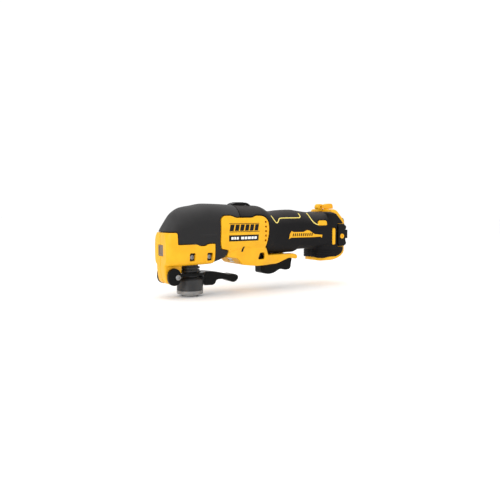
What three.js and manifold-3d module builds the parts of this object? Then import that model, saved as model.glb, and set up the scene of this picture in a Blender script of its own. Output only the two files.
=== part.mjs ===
// A compact cordless oscillating multi-tool, in millimetres.
// +Z is up, +X runs from the tool head back to the battery, and +Y is the tool's right-hand side.
// The origin is the centre of the clamp flange's bottom face, on the axis that the spindle swings about.
import * as THREE from "three";
import { mergeVertices } from "three/addons/utils/BufferGeometryUtils.js";
import Module from "manifold-3d";

const wasm = await Module();
wasm.setup();

// ---- driving dimensions -------------------------------------------------------------------------
const GAP = 0.3; // clearance between pieces that touch on the real tool
const SKIN = 2.4; // thickness of the soft black skin
const WALL = 2.4; // thickness of the rigid shells
const PROUD = 0.8; // how far yellow panels stand out of the black skin
const SIDE_SPAN = 70; // longer than the tool is wide, for cutters that run right through
const SEAM_X = 58; // where the head boot meets the grip
const MOTOR_Z = 82; // height of the motor axis
const CAP_X = 246; // rear face of the battery cap

// ---- spindle and accessory clamp
const FLANGE_R = 16.4;
const FLANGE_NOSE_R = 10.2;
const FLANGE_NOSE_H = 3.4;
const FLANGE_TOP = 7.6;
const HOLDER_BOTTOM = 8;
const HOLDER_TOP = 41;
const NECK_R = 10.3;
const RING_R = 12.5;
const SPINDLE_R = 7;
const PIN_CIRCLE_R = 12.6;
const PIN_COUNT = 8;
const BEARING_BOTTOM = 47;
const UPPER_BEARING_BOTTOM = 94.5;

// ---- lever that lifts the holder
const PIVOT_X = -24.7;
const PIVOT_Z = 26.3;
const NOSE_HALF = 12;
const EAR_IN = 12.6;
const EAR_OUT = 17.6;

// ---- trigger
const TRIGGER_HALF = 10;
const TRIGGER_PIVOT_X = 149;
const TRIGGER_PIVOT_Z = 43.6;

// ---- battery
const CELL_R = 9.1;
const CELL_LENGTH = 64.5;
const CELL_X = 170;
const CELL_PITCH = 18.7;
const PACK_Z = 74;
const CORE_HALF = 24; // half width of the yellow core of the battery foot
const FOOT_HALF = 26.6; // half width over the black foot pads
const PAD_FRONT = 190.4; // front of the foot pads, which are rounded in plan
const CORE_FRONT = 192.8;

// ---- solids from three.js geometry --------------------------------------------------------------
const X = 0;
const Y = 1;
const Z = 2;

// A closed three.js geometry as a manifold-3d solid.
function solidOf(geometry, matrix = new THREE.Matrix4()) {
  const bare = new THREE.BufferGeometry();
  bare.setAttribute("position", geometry.getAttribute("position").clone());
  if (geometry.index) bare.setIndex(geometry.index.clone());
  bare.applyMatrix4(matrix);
  const merged = mergeVertices(bare, 1e-4);
  const mesh = { numProp: 3, vertProperties: merged.attributes.position.array };
  return new wasm.Manifold(new wasm.Mesh({ ...mesh, triVerts: new Uint32Array(merged.index.array) }));
}

// A manifold-3d solid as a three.js geometry with flat-shaded normals.
function geometryOf(solid) {
  const mesh = solid.getMesh();
  const geometry = new THREE.BufferGeometry();
  geometry.setAttribute("position", new THREE.BufferAttribute(new Float32Array(mesh.vertProperties), 3));
  geometry.setIndex(new THREE.BufferAttribute(new Uint32Array(mesh.triVerts), 1));
  geometry.computeVertexNormals();
  return geometry;
}

const union = (...solids) => solids.reduce((sum, next) => sum.add(next));
const cut = (solid, ...cutters) => cutters.reduce((rest, next) => rest.subtract(next), solid);

// Turns local X, Y, Z into the axes of an extrusion: the outline lies across `along`.
function across(along) {
  const axes = [
    [new THREE.Vector3(0, 1, 0), new THREE.Vector3(0, 0, 1), new THREE.Vector3(1, 0, 0)],
    [new THREE.Vector3(1, 0, 0), new THREE.Vector3(0, 0, 1), new THREE.Vector3(0, -1, 0)],
    [new THREE.Vector3(1, 0, 0), new THREE.Vector3(0, 1, 0), new THREE.Vector3(0, 0, 1)],
  ];
  return new THREE.Matrix4().makeBasis(...axes[along]);
}

// Moves an outline of [u, v, reach] corners inwards by `inset`, which shrinks its roundings to match.
function insetCorners(corners, inset) {
  if (inset === 0) return corners;
  const turn = Math.sign(THREE.ShapeUtils.area(corners.map(([u, v]) => new THREE.Vector2(u, v))));
  const normal = (from, to) => {
    const along = new THREE.Vector2(to[0] - from[0], to[1] - from[1]).normalize();
    return new THREE.Vector2(-along.y * turn, along.x * turn);
  };
  return corners.map((corner, i) => {
    const first = normal(corners.at(i - 1), corner);
    const second = normal(corner, corners[(i + 1) % corners.length]);
    const move = first.clone().add(second).multiplyScalar(inset / (1 + first.dot(second)));
    return [corner[0] + move.x, corner[1] + move.y, Math.max(0, corner[2] - Math.max(0, inset) * 0.8)];
  });
}

// A shape through [u, v, reach] corners, where reach is how far a corner's rounding runs along its
// sides. A rounding too tight for the bevel is left sharp.
function roundedShape(corners, bevel = 0) {
  const shape = new THREE.Shape();
  corners.forEach(([u, v, reach], i) => {
    const corner = new THREE.Vector2(u, v);
    const [before, after] = [corners.at(i - 1), corners[(i + 1) % corners.length]].map(
      ([a, b]) => new THREE.Vector2(a, b),
    );
    const room = Math.min(corner.distanceTo(before), corner.distanceTo(after));
    const round = bevel === 0 || (reach > 2.4 * bevel && room > 2 * reach) ? reach : 0;
    const enter = corner.clone().lerp(before, Math.min(0.49, round / corner.distanceTo(before)));
    const leave = corner.clone().lerp(after, Math.min(0.49, round / corner.distanceTo(after)));
    if (i === 0) shape.moveTo(enter.x, enter.y);
    else shape.lineTo(enter.x, enter.y);
    if (round > 0) shape.quadraticCurveTo(u, v, leave.x, leave.y);
  });
  shape.closePath();
  return shape;
}

// A plate with that outline, from low to high along an axis. `inset` moves the outline inwards,
// and `bevel` rounds the edges of both faces.
function plate(along, corners, low, high, { inset = 0, bevel = 0, curve = 2 } = {}) {
  const geometry = new THREE.ExtrudeGeometry(roundedShape(insetCorners(corners, inset), bevel), {
    depth: high - low - 2 * bevel,
    curveSegments: curve,
    bevelEnabled: bevel > 0,
    bevelThickness: bevel,
    bevelSize: bevel,
    bevelOffset: -bevel,
    bevelSegments: 2,
  });
  geometry.translate(0, 0, along === Y ? bevel - high : bevel + low);
  return solidOf(geometry, across(along));
}

function block(x0, x1, y0, y1, z0, z1) {
  const geometry = new THREE.BoxGeometry(x1 - x0, y1 - y0, z1 - z0);
  return solidOf(geometry.translate((x0 + x1) / 2, (y0 + y1) / 2, (z0 + z1) / 2));
}

// A cylinder along an axis, from low to high, with its other two coordinates in `centre`.
function rod(along, radius, low, high, centre = [0, 0], segments = 20) {
  const place = [...centre];
  place.splice(along, 0, (low + high) / 2);
  const geometry = new THREE.CylinderGeometry(radius, radius, high - low, segments);
  if (along === X) geometry.rotateZ(-Math.PI / 2);
  if (along === Z) geometry.rotateX(Math.PI / 2);
  return solidOf(geometry.translate(...place));
}

// A solid of revolution from [radius, height] points that start and end on the axis.
function turned(along, points, centre = [0, 0], segments = 24) {
  const profile = points.map(([radius, height]) => new THREE.Vector2(radius, height));
  const geometry = new THREE.LatheGeometry(profile, segments);
  const place = [...centre];
  place.splice(along, 0, 0);
  if (along === X) geometry.rotateZ(-Math.PI / 2);
  if (along === Z) geometry.rotateX(Math.PI / 2);
  return solidOf(geometry.translate(...place));
}

// ---- the outer form -------------------------------------------------------------------------------
// Stations along the body: x, top, bottom, height of the widest line, half width, and how square the
// upper and lower halves of the section are (2 is an ellipse, more is squarer).
const BODY = [
  [-38.5, 79.5, 41.5, 60, 15.5, 3.0, 5],
  [-35.5, 84.5, 40.5, 60, 19.5, 3.0, 6],
  [-30, 94.5, 40.5, 61, 22, 2.5, 6],
  [-23, 104.6, 40.5, 64, 23.4, 2.3, 6],
  [-13, 110.3, 40.5, 66, 24, 2.25, 6],
  [0, 112.5, 40.5, 68, 24.2, 2.5, 6],
  [17, 115, 40.8, 70, 24.8, 2.6, 6],
  [38, 114.5, 45.5, 75, 27.4, 2.5, 4],
  [50, 113.9, 48.5, 79, 28.7, 2.4, 3],
  [64, 113.3, 50, 82, 29.2, 2.3, 2.7],
  [95, 112.4, 49.5, 82, 28.6, 2.3, 2.8],
  [103, 110, 49, 81, 27.4, 2.3, 3],
  [109, 106.6, 48.6, 80, 25.8, 2.3, 3],
  [116, 105, 48.3, 79, 24.3, 2.3, 3.2],
  [134, 106.4, 48, 78, 22.8, 2.3, 3.2],
  [152, 107, 48.4, 78, 22.5, 2.3, 3.2],
  [161, 105.9, 52, 77.5, 23.2, 2.3, 3.2],
  [173, 104.3, 52.2, 77, 24.4, 2.4, 3.2],
  [184, 103.3, 52.2, 76, 25.4, 2.6, 3.4],
  [212, 104, 52.2, 74, 26.6, 3.0, 4],
];
// Side view of the black foot pads and, a little larger, of the yellow core between them.
const FOOT_PAD = [
  [190.4, 54, 1], [190.4, 38.8, 4], [221, 38.8, 10], [234.3, 51.5, 5], [234.3, 84.5, 5],
  [214.5, 103.8, 6], [205, 103.8, 2], [202, 80, 4], [199, 62, 6],
];
const FOOT_CORE = [
  [192, 54, 1], [192, 34.8, 4], [222.5, 34.8, 12], [238.6, 49.8, 6], [238.6, 86.5, 6],
  [219, 107.4, 3], [212, 107.4, 1], [209, 80, 3], [203, 60, 4],
];

// The black body surface, moved inwards by `inset`.
function bodyForm(inset, segments = 20) {
  const last = BODY.length - 1;
  const geometry = new THREE.CylinderGeometry(1, 1, 1, segments, last);
  const at = geometry.getAttribute("position");
  for (let i = 0; i < at.count; i++) {
    const [x, top, bottom, wide, half, upper, lower] = BODY[Math.round((at.getY(i) + 0.5) * last)];
    const up = at.getX(i);
    const out = at.getZ(i);
    const power = 2 / (up > 0 ? upper : lower);
    const reach = up > 0 ? top - wide : wide - bottom;
    const nose = THREE.MathUtils.clamp(x / BODY[0][0], 0, 1);
    const along = Math.min(x + inset * nose, BODY[last][0] - inset);
    const y = Math.sign(out) * Math.abs(out) ** power * (half - inset);
    const z = wide + Math.sign(up) * Math.abs(up) ** power * (reach - inset);
    at.setXYZ(i, along, Math.abs(out) < 1e-6 ? 0 : y, Math.abs(up) < 1e-6 ? wide : z);
  }
  return solidOf(geometry);
}

// The foot is where its side view, its front view and its plan meet.
function footForm(side, half, low, high, front, rear, inset) {
  const section = [
    [-half, low, 7], [half, low, 7], [half, high, 5], [-half, high, 5],
  ];
  const plan = [
    [front, -half, half - 6], [rear, -half, 7], [rear, half, 7], [front, half, half - 6],
  ];
  return plate(Y, side, -SIDE_SPAN, SIDE_SPAN, { inset })
    .intersect(plate(X, section, 150, 260, { inset }))
    .intersect(plate(Z, plan, 20, 130, { inset, curve: 3 }));
}

const footPads = (inset) => footForm(FOOT_PAD, FOOT_HALF, 38.8, 103.8, PAD_FRONT, 234.3, inset);
const footCore = (inset) => footForm(FOOT_CORE, CORE_HALF, 34.8, 107.4, CORE_FRONT, 238.6, inset);
const blackForm = (inset, segments) => union(bodyForm(inset, segments), footPads(inset));
const through = (corners, options) => plate(Y, corners, -SIDE_SPAN, SIDE_SPAN, options);

// ---- side-view outlines of the yellow areas -------------------------------------------------------
const HEAD_SIDE = [
  [-50, 30, 0], [22.4, 30, 0], [22.4, 65.8, 1.5], [13, 65.6, 2], [10, 63.4, 2],
  [2, 63.4, 2], [-1.5, 65.6, 2], [-26.8, 65.6, 1.5], [-26.8, 80, 1.5], [-50, 80, 0],
];
const PANEL = [
  [30, 64, 6], [31.5, 59, 4], [41.5, 57.2, 2], [40, 44, 0], [96, 40, 0], [97.5, 62, 12],
  [101.4, 80, 14], [99.5, 98.6, 9], [82, 99.6, 3], [77, 97, 3], [51, 97, 3],
  [46, 99.8, 3], [31.5, 99.6, 7],
];
const CHIN = [
  [40.5, 52, 0], [41, 48, 2], [55.5, 46, 3], [63, 37, 3], [84, 34.5, 3],
  [121, 35.4, 5], [133, 40, 6], [141, 42.3, 4], [150, 41, 3], [154.8, 39.4, 4],
  [154.6, 45, 4], [150, 47.7, 4], [104, 47.7, 0], [100, 58, 0], [45, 58, 0],
];
const CHIN_HALF = 24.3;
const CHIN_PLAN = [
  [30, -CHIN_HALF, 0], [97, -CHIN_HALF, 6], [113, -20, 6], [170, -19, 0],
  [170, 19, 0], [113, 20, 6], [97, CHIN_HALF, 6], [30, CHIN_HALF, 0],
];
const BAR = [[210.6, 57.5, 2], [215.8, 57.5, 2], [215.8, 81, 2], [210.6, 81, 2]];
const TAB = [[185, 85, 2.5], [201.4, 85, 2], [201.4, 91.8, 2.5], [187.6, 91.8, 2.5]];
const NAMEPLATE = [[40.5, 79.4, 1.5], [85, 79.4, 1.5], [85, 90.2, 1.5], [40.5, 90.2, 1.5]];
const LABEL_BAR = [[40.2, 68, 1], [83.6, 68, 1], [83.6, 75.6, 1], [40.2, 75.6, 1]];
const LATCH_NOTCH = [[219.8, 54.4, 3], [260, 54.4, 0], [260, 87, 0], [219.8, 87, 3]];
const EYE = [227.2, 69.3];

// ---- fasteners: [x, z, side], side -1 on the left, where the head sits flush with `seat` ------------
const HEAD_SCREWS = [[-8, 50.3, 8.6], [15.6, 50, 10.4]];
const HEAD_SCREW_SEAT = 22.6;
const LEFT_SCREW = [93, 47];
const LEFT_SCREW_SEAT = 17.5;
const RIGHT_SCREWS = [[54, 53, 18], [134, 57, 18], [151, 61, 18], [205, 45.5, 22], [222, 46.5, 22]];
const SCREW_HEAD_R = 2.9;
const SCREW_SHANK_R = 1.5;

// A pan-head screw along Y with a six-sided drive, its head at `seat` on one side of the tool.
function screw([x, z], side, seat, length) {
  const head = rod(Y, SCREW_HEAD_R, seat - 2.2, seat, [x, z], 12);
  const shank = rod(Y, SCREW_SHANK_R, seat - length, seat - 2, [x, z], 8);
  const drive = rod(Y, 1.4, seat - 1.3, seat + 1, [x, z], 6);
  const made = cut(union(head, shank), drive);
  return side < 0 ? made.mirror([0, 1, 0]) : made;
}

function screwHole([x, z], side, seat, length) {
  const pocket = rod(Y, SCREW_HEAD_R + 0.5, seat - 2.5, SIDE_SPAN, [x, z], 14);
  const bore = rod(Y, SCREW_SHANK_R + GAP, seat - length - 1, seat, [x, z], 8);
  const made = union(pocket, bore);
  return side < 0 ? made.mirror([0, 1, 0]) : made;
}

// ---- shared inner and outer forms -------------------------------------------------------------------
const outer = blackForm(0);
const underSkin = blackForm(SKIN);
const shellOuter = blackForm(SKIN + GAP);
const shellInner = blackForm(SKIN + GAP + WALL, 12);
const proudForm = bodyForm(-PROUD);
const leftOf = (limit) => block(-60, limit, -SIDE_SPAN, SIDE_SPAN, -60, 160);
const rightOf = (limit) => block(limit, 300, -SIDE_SPAN, SIDE_SPAN, -60, 160);
const half = (side) =>
  side < 0
    ? block(-60, 300, -SIDE_SPAN, -GAP / 2, -60, 160)
    : block(-60, 300, GAP / 2, SIDE_SPAN, -60, 160);

// ---- head: yellow shells, black boot, nose insert -----------------------------------------------------
const NOSE = [
  [-39.3, 66, 0], [-39.3, 30, 8], [-35.5, 17.4, 5], [-20.5, 17.4, 3], [-17, 30, 3],
  [-16, 40, 0], [-16, 44, 0],
];
const INSERT_HALF = 7;
const INSERT_LOW = 52;
const INSERT_HIGH = 65;

function headShell(side) {
  const zone = through(HEAD_SIDE);
  const cover = cut(proudForm.intersect(zone), bodyForm(SKIN - 0.4));
  const nose = cut(plate(Y, NOSE, -NOSE_HALF, NOSE_HALF, { bevel: 1.5 }), block(-34, -12, -30, 30, 43.5, 70));
  const bosses = HEAD_SCREWS.map(([x, z]) => rod(Y, 4.4, -23.5, 23.5, [x, z], 14).intersect(bodyForm(1)));
  const holes = HEAD_SCREWS.map(([x, z, length]) => screwHole([x, z], -1, HEAD_SCREW_SEAT, length));
  const insert = block(-45, -35.6, -INSERT_HALF - GAP, INSERT_HALF + GAP, INSERT_LOW - GAP, INSERT_HIGH + GAP);
  const made = cut(
    union(cover, nose, ...bosses),
    ...holes,
    insert,
    rod(Y, 2.3, -30, 30, [PIVOT_X, PIVOT_Z], 16),
    rod(Z, 14.3, 30, 45.5, [0, 0], 28),
    rod(Z, 20, 44.7, 100, [0, 0], 28),
    block(0, 30, -19.6, 19.6, 60, 104),
  );
  return made.intersect(half(side));
}

function headBoot() {
  const skin = cut(bodyForm(0), bodyForm(SKIN)).intersect(leftOf(SEAM_X));
  return cut(skin, through(HEAD_SIDE, { inset: -GAP }), through(PANEL, { inset: -GAP }), chinForm(GAP));
}

function noseInsert() {
  const pad = block(-38.8, -36, -INSERT_HALF, INSERT_HALF, INSERT_LOW, INSERT_HIGH);
  const window = block(-45, -38, -INSERT_HALF + 2, INSERT_HALF - 2, INSERT_LOW + 2, INSERT_HIGH - 2);
  return cut(pad, window);
}

// ---- clamshell housing: panel, chin, trigger rail and battery bay ---------------------------------------
function chinForm(grow) {
  const bevel = grow < 0 ? 0 : 2.5;
  const side = plate(Y, CHIN, -CHIN_HALF - grow, CHIN_HALF + grow, { inset: -grow, bevel });
  return side.intersect(plate(Z, CHIN_PLAN, 20, 80, { inset: -grow }));
}

const TRIGGER_WELL = [
  [100.8, 20, 0], [152.6, 20, 0], [153, 40, 0], [153, 49, 0], [140, 49, 0], [128, 47, 0],
  [118, 50, 0], [100.8, 50, 0],
];
const triggerWell = () =>
  union(
    plate(Y, TRIGGER_WELL, -TRIGGER_HALF - 0.6, TRIGGER_HALF + 0.6),
    block(104, 116, -4, 4, 48, 60), // way through for the post that presses the switch
  );
const LENS = [[57, 45, 0], [62.4, 38.4, 0], [64.2, 39.8, 0], [58.8, 46.4, 0]];
const VENT_X = 95.6;
const VENT_ROWS = 5;
const VENT_PITCH = 5.9;
const VENT_TOP = 92.6;

function vents() {
  return Array.from({ length: VENT_ROWS }, (_, row) => {
    const z = VENT_TOP - row * VENT_PITCH;
    return block(VENT_X - 1.7, VENT_X + 1.7, -SIDE_SPAN, SIDE_SPAN, z - 2.2, z);
  });
}

function housing(side) {
  const tube = cut(shellOuter, shellInner).intersect(rightOf(26));
  const panel = cut(proudForm.intersect(through(PANEL)), shellInner);
  const bosses = union(
    through(BAR).intersect(footPads(-0.6)),
    through(TAB).intersect(union(bodyForm(-0.6), footPads(-0.6))),
  );
  const rail = cut(chinForm(0), shellInner, chinForm(-WALL));
  const core = cut(union(footCore(0), bosses), footCore(WALL), shellInner);
  const bayWall = plate(X, PACK_SECTION, 168, 239, { inset: -2.4 }).intersect(union(footCore(0), shellOuter));
  const pillars = RIGHT_SCREWS.map(([x, z, seat]) => rod(Y, 4.2, -seat, seat, [x, z], 14));
  const fastened = union(shellOuter, footCore(0), chinForm(0));
  const pillar = rod(Y, 4, -19, -13.7, LEFT_SCREW, 14);
  const holes = RIGHT_SCREWS.map(([x, z, seat]) => screwHole([x, z], 1, seat, 2 * seat - 8));
  const notch = cut(plate(Y, LATCH_NOTCH, -SIDE_SPAN, SIDE_SPAN), block(200, 235.2, -22.6, 22.6, 40, 100));
  const labels = [NAMEPLATE, LABEL_BAR].map((outline) =>
    cut(through(outline, { inset: -GAP }), bodyForm(-0.1)),
  );
  const slit = through([[61.6, 54.3, 0], [63.2, 54.3, 0], [64.2, 60, 0], [62.6, 60, 0]]);
  const made = cut(
    union(tube, panel, rail, core, bayWall, ...pillars.map((p) => p.intersect(fastened)), pillar),
    ...holes,
    screwHole(LEFT_SCREW, -1, LEFT_SCREW_SEAT, 5),
    triggerWell(),
    plate(X, PACK_SECTION, 164.2, 260, { inset: -0.6 }),
    block(234.9, 260, -20.6, 20.6, 56.6, 95.6),
    notch,
    ...labels,
    ...vents(),
    cut(slit, bodyForm(1)),
    plate(Y, LENS, -6.3, 6.3, { inset: -GAP }),
    block(58.5, 68, -5, 5, 42, 54),
    block(63.5, 83, -4.3, 4.3, 100, 125), // slot of the lock slider
    block(0, 110, -23.3, 23.3, 56, 106.5).intersect(rod(X, 23.3, 0, 110, [0, MOTOR_Z], 24)),
    block(0, 60, -19.8, 19.8, 58, 106),
    rod(Y, 1.9, -17.8, 17.8, [TRIGGER_PIVOT_X, TRIGGER_PIVOT_Z], 16),
    block(217, 226, -1.8, 1.8, 104, 120), // seat of the hang loop
  );
  return made.intersect(half(side));
}

function grip(side) {
  const skin = cut(outer, underSkin).intersect(rightOf(SEAM_X + GAP));
  const made = cut(
    skin,
    footCore(-GAP),
    through(PANEL, { inset: -GAP }),
    through(BAR, { inset: -GAP }),
    through(TAB, { inset: -GAP }),
    plate(Y, LATCH_NOTCH, -SIDE_SPAN, SIDE_SPAN, { inset: -GAP }),
    chinForm(GAP),
    triggerWell(),
    block(63.5, 83, -4.3, 4.3, 100, 125),
    ...RIGHT_SCREWS.map(([x, z, seat]) => screwHole([x, z], 1, seat, 30)),
  );
  return made.intersect(half(side));
}

// ---- nameplates and labels, let into the panel --------------------------------------------------------
function sideLabel(outline, side) {
  const sheet = cut(bodyForm(-PROUD - 0.4), bodyForm(-0.1 - GAP));
  return through(outline).intersect(sheet).intersect(half(side));
}

// ---- accessory clamp -----------------------------------------------------------------------------------
const pinPlaces = Array.from({ length: PIN_COUNT }, (_, i) => {
  const angle = ((i + 0.5) * 2 * Math.PI) / PIN_COUNT;
  return [PIN_CIRCLE_R * Math.cos(angle), PIN_CIRCLE_R * Math.sin(angle)];
});

function clampFlange() {
  const body = turned(Z, [
    [0, 0], [FLANGE_NOSE_R - 0.5, 0], [FLANGE_NOSE_R, 0.5], [FLANGE_NOSE_R, FLANGE_NOSE_H],
    [FLANGE_R - 0.4, FLANGE_NOSE_H], [FLANGE_R, FLANGE_NOSE_H + 0.5], [FLANGE_R, FLANGE_TOP - 0.4],
    [FLANGE_R - 0.4, FLANGE_TOP], [0, FLANGE_TOP],
  ], [0, 0], 28);
  const holes = pinPlaces.map((at) => rod(Z, 1.5, FLANGE_NOSE_H + 0.8, 10, at, 6));
  return cut(body, rod(Z, 5 + GAP, 1.6, 10, [0, 0], 24), ...holes);
}

function accessoryHolder() {
  const body = turned(Z, [
    [0, HOLDER_BOTTOM], [FLANGE_R - 0.5, HOLDER_BOTTOM], [FLANGE_R, HOLDER_BOTTOM + 0.8], [FLANGE_R, 20.5],
    [15.4, 22.6], [12.9, 24], [NECK_R, 24.2],
    [NECK_R, 31], [RING_R, 31], [RING_R, 33.2], [NECK_R, 33.2], [NECK_R, 34.6],
    [RING_R, 34.6], [RING_R, 36.8], [NECK_R, 36.8], [NECK_R, HOLDER_TOP], [0, HOLDER_TOP],
  ], [0, 0], 28);
  const pins = pinPlaces.map((at) => rod(Z, 1, FLANGE_TOP - 2, HOLDER_BOTTOM + 1.5, at, 6));
  return cut(union(body, ...pins), rod(Z, SPINDLE_R + GAP, 0, 60), rod(Z, 9.1, 26, 60));
}

function spindle() {
  return turned(Z, [
    [0, 1.9], [5, 1.9], [5, HOLDER_BOTTOM], [SPINDLE_R, HOLDER_BOTTOM], [SPINDLE_R, 45.4], [9, 45.4], [9, 46.7],
    [SPINDLE_R, 46.7], [SPINDLE_R, 94], [4.7, 94], [4.7, 101.4], [0, 101.4],
  ], [0, 0], 24);
}

function ballBearing(along, outerR, innerR, low, high, centre) {
  const groove = Math.min(1.2, (high - low) / 6);
  const mid = (outerR + innerR) / 2;
  const quarter = (outerR - innerR) / 4;
  return cut(
    turned(along, [
      [0, low], [mid - quarter, low], [mid - quarter, low + groove], [mid + quarter, low + groove],
      [mid + quarter, low], [outerR, low], [outerR, high], [mid + quarter, high],
      [mid + quarter, high - groove], [mid - quarter, high - groove], [mid - quarter, high], [0, high],
    ], centre, 14),
    rod(along, innerR, low - 1, high + 1, centre, 14),
  );
}

function helix(radius, wire, low, high, turns, sides) {
  const steps = 10;
  const points = Array.from({ length: turns * steps + 1 }, (_, i) => {
    const angle = (i / steps) * 2 * Math.PI;
    const z = low + wire + ((high - low - 2 * wire) * i) / (turns * steps);
    return new THREE.Vector3(radius * Math.cos(angle), radius * Math.sin(angle), z);
  });
  const section = new THREE.Shape(new THREE.Path().absarc(0, 0, wire, 0, 2 * Math.PI).getPoints(sides));
  const path = new THREE.CatmullRomCurve3(points);
  const settings = { steps: turns * steps, extrudePath: path, curveSegments: sides, bevelEnabled: false };
  return new THREE.ExtrudeGeometry(section, settings);
}

function driveFork() {
  const hub = rod(Z, 12, 74, 90, [0, 0], 20);
  const arms = block(4, 34, -11.4, 11.4, 76, 88);
  const slot = block(13.5, 40, -6.7, 6.7, 70, 95);
  return cut(union(hub, arms), slot, rod(Z, SPINDLE_R + GAP, 70, 95));
}

function gearCase() {
  const barrel = union(rod(Z, 19, 46.6, 92), rod(Z, 14, 90, 103.5), rod(X, 19, 0, 37.5, [0, MOTOR_Z]));
  const flange = rod(X, 19.4, 33.5, 37.5, [0, MOTOR_Z], 24);
  return cut(
    union(barrel, flange),
    rod(Z, 15.6, 56, 92.2),
    rod(Z, 14 + GAP, BEARING_BOTTOM, 60),
    rod(Z, 10.6, 40, 60),
    rod(Z, 9 + GAP, UPPER_BEARING_BOTTOM - GAP, 101.9),
    rod(Z, SPINDLE_R + GAP, 90, 96),
    rod(X, 14.5, 0, 45, [0, MOTOR_Z]),
    ...HEAD_SCREWS.map(([x, z, length]) => screwHole([x, z], -1, HEAD_SCREW_SEAT, length)),
  ).intersect(bodyForm(SKIN + GAP));
}

// ---- lever -------------------------------------------------------------------------------------------------
const EAR = [
  [-36.8, 21, 4], [-32, 16.4, 4], [-24.5, 16.4, 4], [-20.6, 21, 3],
  [-20.2, 31, 3], [-24.4, 37.4, 4], [-32, 37.4, 4], [-36.8, 32.5, 4],
];
const ARM = [
  [13, 30.2, 1], [13, 12.8, 1], [31, 12.3, 4], [33.5, 19, 2.5], [45, 19, 4], [53, 15.6, 4],
  [58.5, 13.6, 4], [65, 15.6, 4], [66, 21.5, 4], [61, 25, 4], [51, 24.2, 4], [42, 27.4, 4], [23, 30.2, 4],
];
const PLATE_LOW = 26.9;
const PLATE_HIGH = 30.2;
const PAD_TOP = 30.7;

function lever() {
  const ears = [-1, 1].map((side) => {
    const [low, high] = side < 0 ? [-EAR_OUT, -EAR_IN] : [EAR_IN, EAR_OUT];
    return union(
      plate(Y, EAR, low, high, { bevel: 1 }),
      block(-24, 4, low, high, PLATE_LOW, PLATE_HIGH),
      block(-2.2, 2.2, side < 0 ? -14 : 11, side < 0 ? -11 : 14, PLATE_LOW, PAD_TOP),
    );
  });
  const collar = cut(rod(Z, 19.6, PLATE_LOW, PLATE_HIGH, [0, 0], 28), block(-30, 0, -NOSE_HALF, NOSE_HALF, 0, 60));
  const arm = plate(Y, ARM, -9, 9, { bevel: 2 });
  const ring = cut(union(collar, arm), rod(Z, 13.8, 20, 40, [0, 0], 28), rod(Z, 17.6, 0, 26, [0, 0], 28));
  return cut(union(ring, ...ears), rod(Y, 2.3, -30, 30, [PIVOT_X, PIVOT_Z], 16));
}

function leverPin() {
  const shaft = rod(Y, 2, -EAR_OUT - 1, EAR_OUT + 1, [PIVOT_X, PIVOT_Z], 16);
  const heads = [-1, 1].map((side) => {
    const [low, high] = side < 0 ? [-EAR_OUT - 1.9, -EAR_OUT - GAP] : [EAR_OUT + GAP, EAR_OUT + 1.9];
    return rod(Y, 3.3, low, high, [PIVOT_X, PIVOT_Z], 16);
  });
  const socket = rod(Y, 1.5, -EAR_OUT - 3, -EAR_OUT - 0.6, [PIVOT_X, PIVOT_Z], 6);
  return cut(union(shaft, ...heads), socket);
}

// ---- motor and drive -----------------------------------------------------------------------------------------
const motorAxis = [0, MOTOR_Z];
const ECCENTRIC = 0.6;

function rotorShaft() {
  const shaft = rod(X, 3.5, 36, 108, motorAxis, 20);
  const crank = rod(X, 2.7, 23, 37, [0, MOTOR_Z + ECCENTRIC], 16);
  return union(shaft, crank);
}

function counterweight() {
  const disc = rod(X, 10, 35.5, 37.9, motorAxis, 24);
  return cut(disc, block(30, 40, -12, 12, MOTOR_Z + 3.9, MOTOR_Z + 12), rod(X, 3.8, 30, 40, motorAxis, 20));
}

function rotorCore() {
  return cut(rod(X, 11, 52, 84, motorAxis, 24), rod(X, 3.5 + GAP, 50, 90, motorAxis, 20));
}

function statorCore() {
  const ring = rod(X, 21, 52, 84, motorAxis, 24);
  const coils = rod(X, 18, 48.5, 87, motorAxis, 24);
  return cut(union(ring, coils), rod(X, 11.6, 40, 95, motorAxis, 24));
}

function coolingFan() {
  const hub = rod(X, 7, 89, 97, motorAxis, 20);
  const backplate = rod(X, 18.5, 95.6, 97, motorAxis, 20);
  const blades = Array.from({ length: 9 }, (_, i) => {
    const blade = block(89.5, 96, -0.7, 0.7, 5.5, 18);
    return blade.rotate([(i * 360) / 9, 0, 0]).translate([0, 0, MOTOR_Z]);
  });
  return cut(union(hub, backplate, ...blades), rod(X, 3.5 + GAP, 80, 100, motorAxis, 20));
}

// ---- trigger, switch and electronics -----------------------------------------------------------------------------
const TRIGGER = [
  [102.4, 44, 1], [102.4, 22.6, 4], [118, 19.8, 7], [133, 27.6, 5], [140, 24.6, 4], [149.6, 25.4, 4],
  [151, 36, 3], [152, 41, 2], [151.4, 46, 2], [146.4, 46, 2], [138, 41.2, 4], [130, 38.4, 4],
  [122, 38, 3], [116, 44, 1],
];

function trigger() {
  const paddle = plate(Y, TRIGGER, -TRIGGER_HALF, TRIGGER_HALF, { bevel: 1.5 });
  const post = block(108, 112, -3, 3, 38, 47);
  return cut(union(paddle, post), rod(Y, 2.2, -20, 20, [TRIGGER_PIVOT_X, TRIGGER_PIVOT_Z], 16));
}

const triggerPin = () => rod(Y, 1.7, -17.4, 17.4, [TRIGGER_PIVOT_X, TRIGGER_PIVOT_Z], 16);

function switchModule() {
  const body = block(98.5, 127, -9, 9, 56, 71);
  const toggle = block(108, 112, -3, 3, 52, 57);
  return union(body, toggle);
}

function controllerBoard() {
  const board = block(110, 157, -14, 14, 76, 77.6);
  const capacitor = rod(X, 5, 116, 134, [4, 83], 16);
  const chips = [136, 144, 152].map((x) => block(x - 3.4, x + 3.4, -11, 2, 77, 80));
  return union(board, capacitor, block(116, 134, 2, 6, 77, 80), ...chips);
}

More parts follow.
